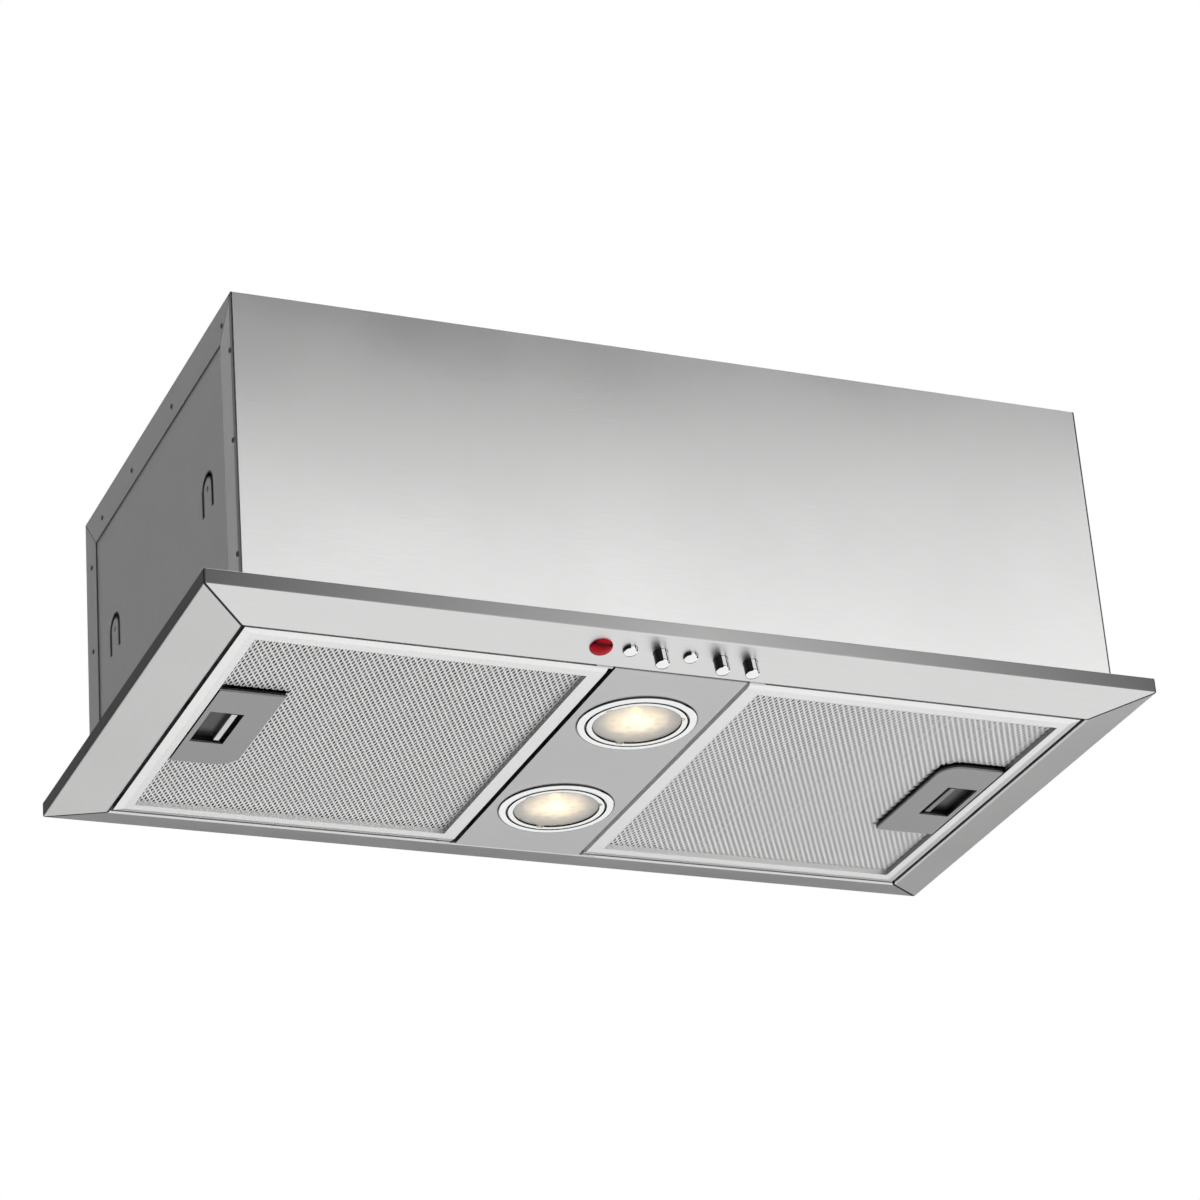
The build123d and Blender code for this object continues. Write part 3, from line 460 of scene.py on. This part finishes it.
def moulded(
    name, colour, rough=0.45, speckle=0.08, emission=0.0, transmission=0.0, specular=0.5, mask=None, glow=0.0
):
    """Plastic, ceramic or glass with a fine speckle in its tone and roughness."""
    material = bpy.data.materials.new(name)
    material.use_nodes = True
    tree = material.node_tree
    shader = tree.nodes["Principled BSDF"]
    place = tree.nodes.new("ShaderNodeTexCoord")
    noise = tree.nodes.new("ShaderNodeTexNoise")
    noise.inputs["Scale"].default_value = 900.0
    noise.inputs["Detail"].default_value = 3.0
    link(tree, place.outputs["Object"], noise.inputs["Vector"])
    tone = masked(tree, scaled(tree, noise.outputs["Fac"], 2 * speckle, 1 - speckle), mask, 0.1)
    link(tree, tinted(tree, colour, tone), shader.inputs["Base Color"])
    gloss = scaled(tree, noise.outputs["Fac"], 2 * SPECKLE_SWING, rough - SPECKLE_SWING)
    link(tree, gloss, shader.inputs["Roughness"])
    shader.inputs["Transmission Weight"].default_value = transmission
    shader.inputs["Specular IOR Level"].default_value = specular
    if emission:
        shader.inputs["Emission Color"].default_value = (*colour[:3], 1)
        shader.inputs["Emission Strength"].default_value = emission
    glowing(tree, shader, glow)
    return material


def finish_of(key):
    """One material by name, made once from the chosen colours. The frame's own materials have other names."""
    name = "finish_" + key
    if name in bpy.data.materials:
        return bpy.data.materials[name]
    looks = bpy.context.scene.hood_colours
    along_x, along_y, along_z = (45, 1100, 1100), (1100, 45, 1100), (1100, 1100, 45)
    # Dark cut edges, and painted shade on the bend at the front
    cut_edge_and_bend_shade = {"mask": "Cut Edge And Bend Shade", "masked_tone": 0.12}
    # Painted shade on the rim of the flange, and dark mitre seams
    rim = {"mask": "Rim Shade And Seam", "masked_tone": 0.15}
    # Painted shade on the latch's sliding part in its pocket, and painted light on its pull bar
    shaded_slider = {"stretch": (90, 90, 90), "rough": 0.35, "grain": 0.03, "metallic": 0.7, "mask": "Lit Bar"}
    makers = {
        "front_steel": lambda: metal(
            name, looks.box_steel, along_x, rough=0.22, grain=0.06, cloud=0.03, **cut_edge_and_bend_shade
        ),
        # Painted shadow round the hooks
        "side_steel": lambda: metal(
            name, looks.side_steel, along_z, rough=0.45, grain=0.08, cloud=0.05, mask="Hook", masked_tone=0.25
        ),
        "top_steel": lambda: metal(
            name, looks.side_steel, along_x, rough=0.45, grain=0.08, cloud=0.05, **cut_edge_and_bend_shade
        ),
        "rail_steel_x": lambda: metal(
            name, looks.rail_steel, along_x, rough=0.42, grain=0.05, cloud=0.03, **rim
        ),
        # The rails along Y take a darker copy of the same steel: painted shade
        "rail_steel_y": lambda: metal(
            name, looks.shaded_side_rail, along_y, rough=0.42, grain=0.05, cloud=0.03, **rim
        ),
        "panel_steel": lambda: metal(name, looks.panel_steel, along_x, rough=0.34, grain=0.05, cloud=0.04),
        "zinc": lambda: metal(
            name, looks.zinc, (60, 60, 60), rough=0.42, grain=0.10, cloud=0.12, cloud_scale=14
        ),
        # Painted shade on the frames' upright walls, except in the gap, where the walls are made no metal
        "filter_aluminium": lambda: metal(
            name, looks.filter_aluminium, (40, 40, 40), rough=0.36, grain=0.02, cloud=0.02, metallic=0.9,
            mask="Wall Shade", masked_tone=0.3, dull="Gap",
        ),
        # Painted shade on the floor of the pocket
        "latch_aluminium": lambda: metal(
            name, looks.latch_aluminium, (500, 30, 500), rough=0.42, grain=0.05, mask="Pocket Shade",
            masked_tone=0.12,
        ),
        # Lit and shaded copies: painted light on the pull bar, stronger on the left than on the right
        "left_slider": lambda: metal(name, looks.shaded_slider, masked_tone=10.0, **shaded_slider),
        "right_slider": lambda: metal(name, looks.shaded_slider, masked_tone=3.5, **shaded_slider),
        "mesh_aluminium": lambda: metal(
            name, looks.mesh_aluminium, (120, 120, 120), rough=0.35, grain=0.06, metallic=0.2
        ),
        # Pleats, inner mesh and fan: aluminium made darker as painted shade
        "shaded_pleat_aluminium": lambda: metal(name, looks.shaded_pleat_aluminium, (300, 20, 300), rough=0.5, grain=0.12),
        # Painted shade in the rings' grooves and at the bezels' outer edge
        "satin_nickel": lambda: metal(
            name, looks.satin_nickel, (80, 80, 80), rough=0.16, grain=0.02, cloud=0.02, mask="Groove Shade",
            masked_tone=0.05,
        ),
        # Painted dark reflections along the buttons
        "chrome": lambda: metal(
            name, looks.chrome, (60, 60, 60), rough=0.09, grain=0.01, cloud=0.01, bump=0.0, mask="Reflection Streak",
            masked_tone=0.02,
        ),
        "rivet_metal": lambda: metal(name, looks.rivet, (200, 200, 200), rough=0.35, grain=0.05),
        "black_plastic": lambda: moulded(name, looks.black_plastic),
        "grey_plastic": lambda: moulded(name, looks.grey_plastic),
        "ceramic": lambda: moulded(name, looks.ceramic, rough=0.7),
        "red_lens": lambda: moulded(
            name, looks.red_lens, rough=0.12, speckle=0.02, specular=0.1, mask="Shade"
        ),
        # Painted light of the bulb as emission on the glass and on the reflector
        "lamp_glass": lambda: moulded(
            name, looks.lamp_glass, rough=0.10, speckle=0.01, transmission=0.58, glow=0.6
        ),
        "reflector": lambda: metal(name, looks.reflector, (90, 90, 90), rough=0.20, grain=0.06, glow=0.5),
        "filament_glow": lambda: moulded(name, looks.glow, emission=1.8),
    }
    return makers[key]()


def dress(key, *names):
    """A finish put on CAD nodes that keep their own shape."""
    material = finish_of(key)
    for name in names:
        node = NODES[name]
        if not node.material_slots:
            node.data.materials.append(material)
        for place in node.material_slots:
            place.link = "OBJECT"
            place.material = material


# Sizes and colours that a user would change

def length(name, description, default):
    return bpy.props.FloatProperty(
        name=name, description=description, default=default, min=0.0, subtype="DISTANCE", unit="LENGTH",
        precision=5,
    )


def colour(name, description, default):
    return bpy.props.FloatVectorProperty(
        name=name, description=description, default=default, min=0.0, max=1.0, size=3, subtype="COLOR"
    )


class HoodSizes(bpy.types.PropertyGroup):
    """Sizes of the surfaces that are made here"""

    mesh_short: length("Mesh short way", "Pitch of the diamonds along X", 0.00471)
    mesh_long: length("Mesh long way", "Pitch of the diamonds along Y", 0.00787)
    strand_width: length("Strand width", "Width of a mesh strand", 0.00145)
    strand_sheet: length("Strand thickness", "Thickness of the mesh's sheet", 0.0005)
    strand_tilt: bpy.props.FloatProperty(
        name="Strand tilt", description="Turn of the strands out of the sheet's plane",
        default=math.radians(3), subtype="ANGLE", unit="ROTATION",
    )
    rivet_dome: length("Rivet dome", "Height of a rivet's head", 0.0009)


class HoodColours(bpy.types.PropertyGroup):
    """Colours of the finishes"""

    box_steel: colour("Front steel", "Brushed front of the box", (0.90, 0.90, 0.895))
    side_steel: colour("Side steel", "Sides, back and top of the box", (0.80, 0.80, 0.80))
    rail_steel: colour("Rail steel", "Front and back rails of the flange", (0.82, 0.82, 0.815))
    # Painted shade: a darker copy of the rail steel for the rails along Y
    shaded_side_rail: colour("Side rail steel", "Left and right rails of the flange", (0.71, 0.71, 0.705))
    panel_steel: colour("Panel steel", "Panel between the filters", (0.62, 0.615, 0.615))
    zinc: colour("Zinc", "Blower casing, brackets and screws", (0.50, 0.51, 0.52))
    filter_aluminium: colour("Filter frame", "Bright rolled aluminium", (0.96, 0.96, 0.955))
    # Painted shade: dark as the shade in the pocket; the pull bar gets painted light
    shaded_slider: colour("Latch slider", "Slider in the pocket, lighter on its pull bar", (0.08, 0.08, 0.08))
    latch_aluminium: colour("Latch plate", "Dull rolled aluminium", (0.42, 0.42, 0.42))
    mesh_aluminium: colour("Mesh", "Expanded aluminium mesh", (0.95, 0.95, 0.945))
    # Painted shade: the same aluminium made darker as it lies behind the mesh
    shaded_pleat_aluminium: colour("Pleats", "Pleated layer inside the filters", (0.36, 0.36, 0.36))
    satin_nickel: colour("Lamp rings", "Satin nickel of the lamps", (0.90, 0.91, 0.90))
    chrome: colour("Chrome", "Push buttons", (0.90, 0.90, 0.90))
    rivet: colour("Rivets", "Rivet heads", (0.16, 0.16, 0.16))
    black_plastic: colour("Black plastic", "Switch bank and cable gland", (0.03, 0.03, 0.03))
    grey_plastic: colour("Grey plastic", "Terminal box, capacitor and flaps", (0.35, 0.36, 0.37))
    ceramic: colour("Ceramic", "Lampholders", (0.75, 0.74, 0.70))
    red_lens: colour("Pilot red", "Lens of the pilot lamp", (0.52, 0.0, 0.014))
    lamp_glass: colour("Lamp glass", "Glass of the lamps", (0.98, 0.97, 0.94))
    reflector: colour("Reflector", "Dish of the bulbs", (0.85, 0.82, 0.76))
    glow: colour("Glow", "Lit middle of the bulbs", (1.0, 0.76, 0.46))


# Operators

class Maker(bpy.types.Operator):
    """One group of the hood's pieces"""

    bl_options = {"REGISTER"}

    def execute(self, context):
        self.build(context.scene.hood_sizes)
        return {"FINISHED"}


class HOOD_OT_box(Maker):
    """Finish the box and put domed rivets on its sides"""

    bl_idname = "hood.box"
    bl_label = "Box"

    def build(self, sizes):
        dress("front_steel", "front_panel")
        dress("side_steel", "left_side_panel", "right_side_panel")
        dress("top_steel", "top_panel", "back_panel")
        self.rivets(sizes)

    def rivets(self, sizes):
        """Domes: radius r cos t, height d sin t, one at each place where the frame has a rivet head."""
        points = np.array([vertex.co for vertex in NODES["body_rivets"].data.vertices])
        low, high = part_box("body_rivets")
        apart, reach = 0.008, 0.006
        heads = []
        for side in (-1, 1):
            outer = points[np.abs(points[:, 0] - (high.x if side > 0 else low.x)) < 1e-5]
            seen = []
            for y, z in outer[:, 1:]:
                if all((y - a) ** 2 + (z - b) ** 2 > apart**2 for a, b in seen):
                    seen.append((y, z))
            for y, z in seen:
                near = outer[(outer[:, 1] - y) ** 2 + (outer[:, 2] - z) ** 2 < reach**2]
                middle = (near.min(0) + near.max(0)) / 2
                radius = (near[:, 1].max() - near[:, 1].min()) / 2
                heads.append((side, middle, radius))
        parts = []
        for side, middle, radius in heads:
            t = np.linspace(0, np.pi / 2, 6)
            profile = np.stack([radius * np.cos(t), sizes.rivet_dome * np.sin(t)], -1)
            profile = np.concatenate([[[1e-9, 0.0]], profile])
            vertices, quads = spun(profile, 20)
            origin = (middle[0] - side * sizes.rivet_dome, middle[1], middle[2])
            parts.append((placed(vertices, origin, (side, 0, 0)), quads))
        vertices, quads = joined(parts)
        piece = new_piece("rivet_heads", vertices, quads, finish_of("rivet_metal"), "hood")
        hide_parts("body_rivets")


class HOOD_OT_flange(Maker):
    """Finish the mitred rails and the panel between the filters"""

    bl_idname = "hood.flange"
    bl_label = "Flange"

    def build(self, sizes):
        dress("rail_steel_x", "front_rail", "back_rail")
        dress("rail_steel_y", "left_rail", "right_rail")
        dress("panel_steel", "centre_panel")
        dress("zinc", "corner_plates", "panel_screws")


class HOOD_OT_filters(Maker):
    """Make the expanded mesh of both filters and finish their frames"""

    bl_idname = "hood.filters"
    bl_label = "Filters"

    def build(self, sizes):
        for side in SIDES:
            dress("filter_aluminium", side + "_filter_frame")
            dress("zinc", side + "_hinge_pins")
            dress("shaded_pleat_aluminium", side + "_filter_pleats", side + "_inner_mesh")
            self.mesh(sizes, side)

    def mesh(self, sizes, side):
        """Expanded mesh: strands along Y that swing between their neighbours and touch them in turn.

        A strand's middle is x = k p + s w, where s runs as a clipped triangle wave of y between -1 and 1,
        and its section is a small rectangle tilted about Y."""
        low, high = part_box("left_outer_mesh")
        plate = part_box("left_latch_plate")[1]
        pitch = sizes.mesh_short / 2
        tilt, wide, thick = sizes.strand_tilt, sizes.strand_width, sizes.strand_sheet
        flat_width = wide * math.cos(tilt)
        swing = (pitch - flat_width) / 2
        strands = int((high.x - low.x - wide) / pitch)
        halves = int((high.y - low.y) / (sizes.mesh_long / 2))
        start_y = (low.y + high.y) / 2 - halves * sizes.mesh_long / 4
        dwell = 0.16
        knots = np.arange(halves + 1)[:, None] + np.array([-dwell, dwell])
        station = np.clip(knots.ravel(), 0, halves)
        side_sign = np.repeat(np.where(np.arange(halves + 1) % 2 == 0, 1.0, -1.0), 2)
        y = start_y + station * sizes.mesh_long / 2
        k = np.arange(strands)[:, None]
        x_start = (low.x + high.x) / 2 - (strands - 1) * pitch / 2
        x = x_start + k * pitch + np.where(k % 2 == 0, 1.0, -1.0) * side_sign * swing
        u = np.array([-1, 1, 1, -1]) * wide / 2
        v = np.array([-1, -1, 1, 1]) * thick / 2
        across = u * math.cos(tilt) - v * math.sin(tilt)
        up = u * math.sin(tilt) + v * math.cos(tilt)
        middle_z = (low.z + high.z) / 2
        shape = (strands, len(y), 4)
        grid = np.stack([
            np.broadcast_to(x[:, :, None] + across, shape),
            np.broadcast_to(y[None, :, None], shape),
            np.broadcast_to(middle_z + up, shape),
        ], -1)
        quads = grid_quads(len(y), 4, False, True)
        every = (quads[None] + (np.arange(strands) * len(y) * 4)[:, None, None])
        gap = 0.0016
        mid_y = (y[:-1] + y[1:]) / 2
        into = np.maximum(x[:, :-1] - plate.x + LATCH_CORNER, 0)
        past = np.maximum(mid_y - plate.y + LATCH_CORNER, 0)[None, :]
        in_latch = (np.hypot(into, past) < LATCH_CORNER + gap) & (mid_y > -plate.y - gap)[None, :]
        keep = np.repeat(~in_latch, 4, axis=1).reshape(strands, -1)
        vertices, quads = grid.reshape(-1, 3), every[keep]
        if side == "right":
            vertices = vertices * np.array([-1, -1, 1])
        piece = new_piece(
            side + "_mesh_strands", vertices, quads, finish_of("mesh_aluminium"), side + "_filter",
            smooth=0,
        )
        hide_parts(side + "_outer_mesh")


class HOOD_OT_latches(Maker):
    """Finish the latch plates, sliders and springs"""

    bl_idname = "hood.latches"
    bl_label = "Latches"

    def build(self, sizes):
        for side in SIDES:
            dress("latch_aluminium", side + "_latch_plate")
            dress(side + "_slider", side + "_latch_slider")
            dress("zinc", side + "_latch_spring")


class HOOD_OT_lamps(Maker):
    """Make the bezels, rings, glasses and lit bulbs of both lamps"""

    bl_idname = "hood.lamps"
    bl_label = "Lamps"

    def build(self, sizes):
        for lamp in LAMPS:
            dress("lamp_glass", lamp + "_lamp_glass")
            dress("ceramic", lamp + "_lampholder")
            self.bezel(lamp)
            self.ring(lamp)
            self.bulb(lamp)

    def bezel(self, lamp):
        """Housing: the frame's section with its corners softened to parabolas, turned about the axis."""
        low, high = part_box(lamp + "_lamp_housing")
        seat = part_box("centre_panel")[0].z
        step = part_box(lamp + "_lamp_glass")[1].z
        edge, top = (high.x - low.x) / 2, high.z
        hole, can, ledge, mouth = edge - 0.007, edge - 0.0058, edge - 0.0094, 0.0107
        face = low.z
        profile = [
            (hole, step), (hole, face), (edge - 0.0016, face), (edge, seat), (can, seat), (can, top),
            (mouth, top), (mouth, top - SHEET), (ledge, top - SHEET), (ledge, step), (hole, step),
        ]
        vertices, quads = spun(softened(profile, 0.0009), 128)
        vertices = vertices + np.array([0, centre_of(lamp + "_lamp_housing").y, 0])
        piece = new_piece(lamp + "_bezel", vertices, quads, finish_of("satin_nickel"), "hood")
        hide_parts(lamp + "_lamp_housing")

    def ring(self, lamp):
        """Ring: radius s moved to i + (s - q)(o - i) / (o - q), where i, the inner edge, runs round three
        notches as q + sqrt(n**2 - (q sin a)**2)."""
        low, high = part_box(lamp + "_lamp_ring")
        outer, inner, notch = (high.x - low.x) / 2, 0.0325, 0.0024
        profile = [(inner, high.z), (inner, low.z), (outer, low.z), (outer, high.z), (inner, high.z)]
        profile = softened(profile, 0.0007)
        vertices, quads = spun(profile, 180)
        radius, angle = np.hypot(vertices[:, 0], vertices[:, 1]), np.arctan2(vertices[:, 1], vertices[:, 0])
        turn = (angle - np.pi / 2 + np.pi / 3) % (2 * np.pi / 3) - np.pi / 3
        edge = inner + np.sqrt(np.maximum(notch**2 - (inner * np.sin(turn)) ** 2, 0))
        moved = edge + (radius - inner) * (outer - edge) / (outer - inner)
        vertices[:, :2] *= (moved / radius)[:, None]
        vertices = vertices + np.array([0, centre_of(lamp + "_lamp_ring").y, 0])
        piece = new_piece(lamp + "_ring", vertices, quads, finish_of("satin_nickel"), "hood")
        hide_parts(lamp + "_lamp_ring")

    def bulb(self, lamp):
        """Bulb: a parabolic dish r**2 = 4 f h, open downwards, with a lit round capsule at its focus."""
        low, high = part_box(lamp + "_lamp_bulb")
        middle = centre_of(lamp + "_lamp_bulb")
        radius = (high.x - low.x) / 2
        r = np.linspace(0.0, 1.0, 20)
        depth = 0.55 * radius
        dish = np.stack([radius * r, low.z + depth * (1 - r**2)], -1)
        neck = 0.4 * radius
        shell = [
            (radius, low.z + 0.001), (radius, low.z + 0.008), (neck, high.z - 0.01), (neck, high.z),
            (0, high.z),
        ]
        profile = np.concatenate([dish, softened(shell, 0.002)])
        vertices, quads = spun(profile, 72)
        vertices = vertices + np.array([middle.x, middle.y, 0])
        piece = new_piece(lamp + "_bulb", vertices, quads, finish_of("reflector"), "hood")
        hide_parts(lamp + "_lamp_bulb")
        t = np.linspace(-np.pi / 2, np.pi / 2, 12)
        ball = np.stack([CAPSULE * np.cos(t), low.z + CAPSULE_RISE + CAPSULE * np.sin(t)], -1)
        vertices, quads = spun(ball, 24)
        vertices = vertices + np.array([middle.x, middle.y, 0])
        new_piece(lamp + "_bulb_capsule", vertices, quads, finish_of("filament_glow"), "hood")


class HOOD_OT_controls(Maker):
    """Make the push buttons and the pilot lamp's lens, and finish the switch bank"""

    bl_idname = "hood.controls"
    bl_label = "Controls"

    def build(self, sizes):
        for name in BUTTONS:
            axis = Vector(JOINTS[name + "_slide"]["axis"])
            self.turned(
                name + "_cap", name + "_button", axis, "chrome", name + "_push", "button_chrome", self.button
            )
        self.turned("pilot_dome", "pilot_lens", axis, "red_lens", "hood", "red_lens", self.lens)
        dress("black_plastic", "switch_bank")

    def turned(self, name, node, axis, finish, body, slot, shape):
        """A turned piece with the frame's radius and length, laid along the control's axis."""
        points = np.array([NODES[node].matrix_world @ vertex.co for vertex in NODES[node].data.vertices])
        ways = np.array([(1, 0, 0), Vector((1, 0, 0)).cross(axis), axis])
        shares = points @ ways.T
        low, high = shares.min(0), shares.max(0)
        vertices, quads = spun(shape((high[0] - low[0]) / 2, high[2] - low[2]), 64)
        tip = np.array([(low[0] + high[0]) / 2, (low[1] + high[1]) / 2, low[2]]) @ ways
        piece = new_piece(name, placed(vertices, tip, axis), quads, finish_of(finish), body)
        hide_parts(node)

    def button(self, radius, reach):
        """Button: a low dome h = d (r / R)**2 on a straight bar with a rounded edge."""
        depth, shoulder, edge = 0.0017, 0.0021, 0.0008
        r = np.linspace(0, 0.86, 10)
        dome = np.stack([radius * r, depth * r**2], -1)
        rest = softened([dome[-1], (radius, shoulder), (radius, reach), (0, reach)], edge)
        return np.concatenate([dome, rest[1:]])

    def lens(self, radius, reach):
        """Lens: a quarter of an ellipse, r = R sin t and h = d (1 - cos t), with a rim and a neck."""
        depth, rim, neck = 0.0043, 0.0045, 0.58 * radius
        t = np.linspace(0, np.pi / 2, 14)
        dome = np.stack([radius * np.sin(t), depth * (1 - np.cos(t))], -1)
        return np.concatenate([dome, [(radius, rim), (neck, rim), (neck, reach), (0, reach)]])


class HOOD_OT_blower(Maker):
    """Finish the blower, its motor and its capacitor"""

    bl_idname = "hood.blower"
    bl_label = "Blower"

    def build(self, sizes):
        dress("zinc", "right_blower_casing", "left_blower_casing", "motor_bracket", "motor_shaft", "motor")
        dress("shaded_pleat_aluminium", "fan")
        dress("grey_plastic", "capacitor")


class HOOD_OT_outlet(Maker):
    """Finish the duct spigot with its flaps, and the mains entry"""

    bl_idname = "hood.outlet"
    bl_label = "Outlet and mains entry"

    def build(self, sizes):
        dress("zinc", "outlet_collar", "flap_pin")
        dress("grey_plastic", "back_flap", "front_flap", "terminal_box")
        dress("black_plastic", "cable_gland")


class HOOD_OT_stage(Maker):
    """Make the floor, the studio light, the background and the camera"""

    bl_idname = "hood.stage"
    bl_label = "Stage"

    def build(self, sizes):
        self.floor()
        self.world()
        self.flags()
        self.lamps()
        self.camera()

    def plane(self, name, corners, material):
        mesh = bpy.data.meshes.new(name)
        mesh.from_pydata([tuple(corner) for corner in corners], [], [(0, 1, 2, 3)])
        mesh.materials.append(material)
        card = bpy.data.objects.new(name, mesh)
        bpy.context.scene.collection.objects.link(card)
        return card

    def white_where_seen(self, tree, seen, mirrored):
        """Share of plain white emission, one for camera rays and one for glossy and transmitted rays."""
        path = tree.nodes.new("ShaderNodeLightPath")
        glossy, passed = path.outputs["Is Glossy Ray"], path.outputs["Is Transmission Ray"]
        bounced = math_node(tree, "MULTIPLY", math_node(tree, "MAXIMUM", glossy, passed), mirrored)
        direct = math_node(tree, "MULTIPLY", path.outputs["Is Camera Ray"], seen)
        return math_node(tree, "MAXIMUM", direct, bounced)

    def floor(self):
        """Pale plain floor well below the hood, because the photograph looks up at it."""
        half, height = 14.0, -3.4
        corners = [(x * half, y * half, height) for x, y in ((-1, -1), (1, -1), (1, 1), (-1, 1))]
        material = bpy.data.materials.new("floor_paint")
        material.use_nodes = True
        tree = material.node_tree
        shader = tree.nodes["Principled BSDF"]
        shader.inputs["Base Color"].default_value = (0.92, 0.92, 0.92, 1)
        shader.inputs["Roughness"].default_value = 0.9
        white = tree.nodes.new("ShaderNodeEmission")
        share = self.white_where_seen(tree, seen=0.6, mirrored=0.9)
        surface = mixed(tree, share, shader.outputs[0], white.outputs[0])
        link(tree, surface, tree.nodes["Material Output"].inputs["Surface"])
        self.plane("floor", corners, material)

    def world(self):
        """White where a camera, glossy or transmitted ray meets it, plain soft light elsewhere."""
        world = bpy.data.worlds.new("studio")
        bpy.context.scene.world = world
        world.use_nodes = True
        tree = world.node_tree
        tree.nodes.clear()
        light = tree.nodes.new("ShaderNodeBackground")
        light.inputs["Color"].default_value = (1, 1, 1, 1)
        light.inputs["Strength"].default_value = 1.05
        white = tree.nodes.new("ShaderNodeBackground")
        white.inputs["Color"].default_value = (1, 1, 1, 1)
        output = tree.nodes.new("ShaderNodeOutputWorld")
        share = self.white_where_seen(tree, seen=1.0, mirrored=1.0)
        link(tree, mixed(tree, share, light.outputs[0], white.outputs[0]), output.inputs["Surface"])

    def flags(self):
        """Grey studio flags that the steel mirrors. They don't show to the camera."""
        for name, tone, corners in (
            ("back_flag", 0.45, [(-6.0, 3.2, -1.1), (0.3, 3.2, -1.1), (0.3, 3.2, 5.0), (-6.0, 3.2, 5.0)]),
            ("far_flag", 0.10, [(0.3, 3.2, -1.1), (4.0, 3.2, -1.1), (4.0, 3.2, 5.0), (0.3, 3.2, 5.0)]),
            ("left_flag", 0.15, [(-3.4, -2.6, -2.6), (-3.4, 3.0, -2.6), (-3.4, 3.0, 4.0), (-3.4, -2.6, 4.0)]),
            ("right_flag", 0.03, [(3.6, -0.7, -2.6), (3.6, 0.7, -2.6), (3.6, 0.7, 4.0), (3.6, -0.7, 4.0)]),
            ("front_flag", 0.01, [(-3.0, -3.2, 1.5), (4.0, -3.2, 2.3), (4.0, -3.2, 5.0), (-3.0, -3.2, 5.0)]),
        ):
            material = bpy.data.materials.new(name + "_cloth")
            material.use_nodes = True
            shader = material.node_tree.nodes["Principled BSDF"]
            shader.inputs["Base Color"].default_value = (tone, tone, tone, 1)
            shader.inputs["Roughness"].default_value = 1.0
            self.plane(name, corners, material).visible_camera = False

    def lamps(self):
        """Large soft lamp in front at the right."""
        place, aim = Vector((2.2, -2.6, -0.6)), Vector((0.2, -0.2, 0.1))
        data = bpy.data.lights.new("key_lamp", "AREA")
        data.shape = "SQUARE"
        data.size = 2.2
        data.energy = 3.0
        lamp = bpy.data.objects.new("key_lamp", data)
        lamp.location = place
        lamp.rotation_mode = "QUATERNION"
        lamp.rotation_quaternion = (aim - place).to_track_quat("-Z", "Y")
        bpy.context.scene.collection.objects.link(lamp)

    def camera(self):
        """Camera of the photograph: below the hood, in front and to its left, and turned about its view."""
        data = bpy.data.cameras.new("camera")
        data.lens = 121.25
        data.sensor_width = 36.0
        data.sensor_fit = "HORIZONTAL"
        data.clip_end = 100.0
        camera = bpy.data.objects.new("camera", data)
        bpy.context.scene.collection.objects.link(camera)
        right = Vector((0.9215, -0.3813, -0.0731)).normalized()
        forward = Vector((0.3727, 0.8161, 0.4417)).normalized()
        up = right.cross(forward).normalized()
        right = forward.cross(up).normalized()
        turn = Matrix((right, up, -forward)).transposed()
        camera.matrix_world = Matrix.Translation((-1.1247, -2.4947, -1.2317)) @ turn.to_4x4()
        bpy.context.scene.camera = camera
        bpy.context.scene.view_settings.view_transform = "Standard"


class HOOD_PT_panel(bpy.types.Panel):
    """Sidebar list of the hood's sizes, colours and operators"""

    bl_label = "Range hood"
    bl_idname = "HOOD_PT_panel"
    bl_space_type = "VIEW_3D"
    bl_region_type = "UI"
    bl_category = "Hood"

    def draw(self, context):
        layout = self.layout
        for group in (context.scene.hood_sizes, context.scene.hood_colours):
            box = layout.box()
            for name in group.__annotations__:
                box.prop(group, name)
        for maker in MAKERS:
            layout.operator(maker.bl_idname, text=maker.bl_label)


MAKERS = (
    HOOD_OT_box, HOOD_OT_flange, HOOD_OT_filters, HOOD_OT_latches, HOOD_OT_lamps,
    HOOD_OT_controls, HOOD_OT_blower, HOOD_OT_outlet, HOOD_OT_stage,
)
CLASSES = (HoodSizes, HoodColours, *MAKERS, HOOD_PT_panel)


def register():
    for cls in CLASSES:
        bpy.utils.register_class(cls)
    bpy.types.Scene.hood_sizes = bpy.props.PointerProperty(type=HoodSizes)
    bpy.types.Scene.hood_colours = bpy.props.PointerProperty(type=HoodColours)


def unregister():
    del bpy.types.Scene.hood_colours
    del bpy.types.Scene.hood_sizes
    for cls in reversed(CLASSES):
        bpy.utils.unregister_class(cls)


def main():
    register()
    for maker in MAKERS:
        group, name = maker.bl_idname.split(".")
        getattr(getattr(bpy.ops, group), name)()


if __name__ == "__main__":
    main()
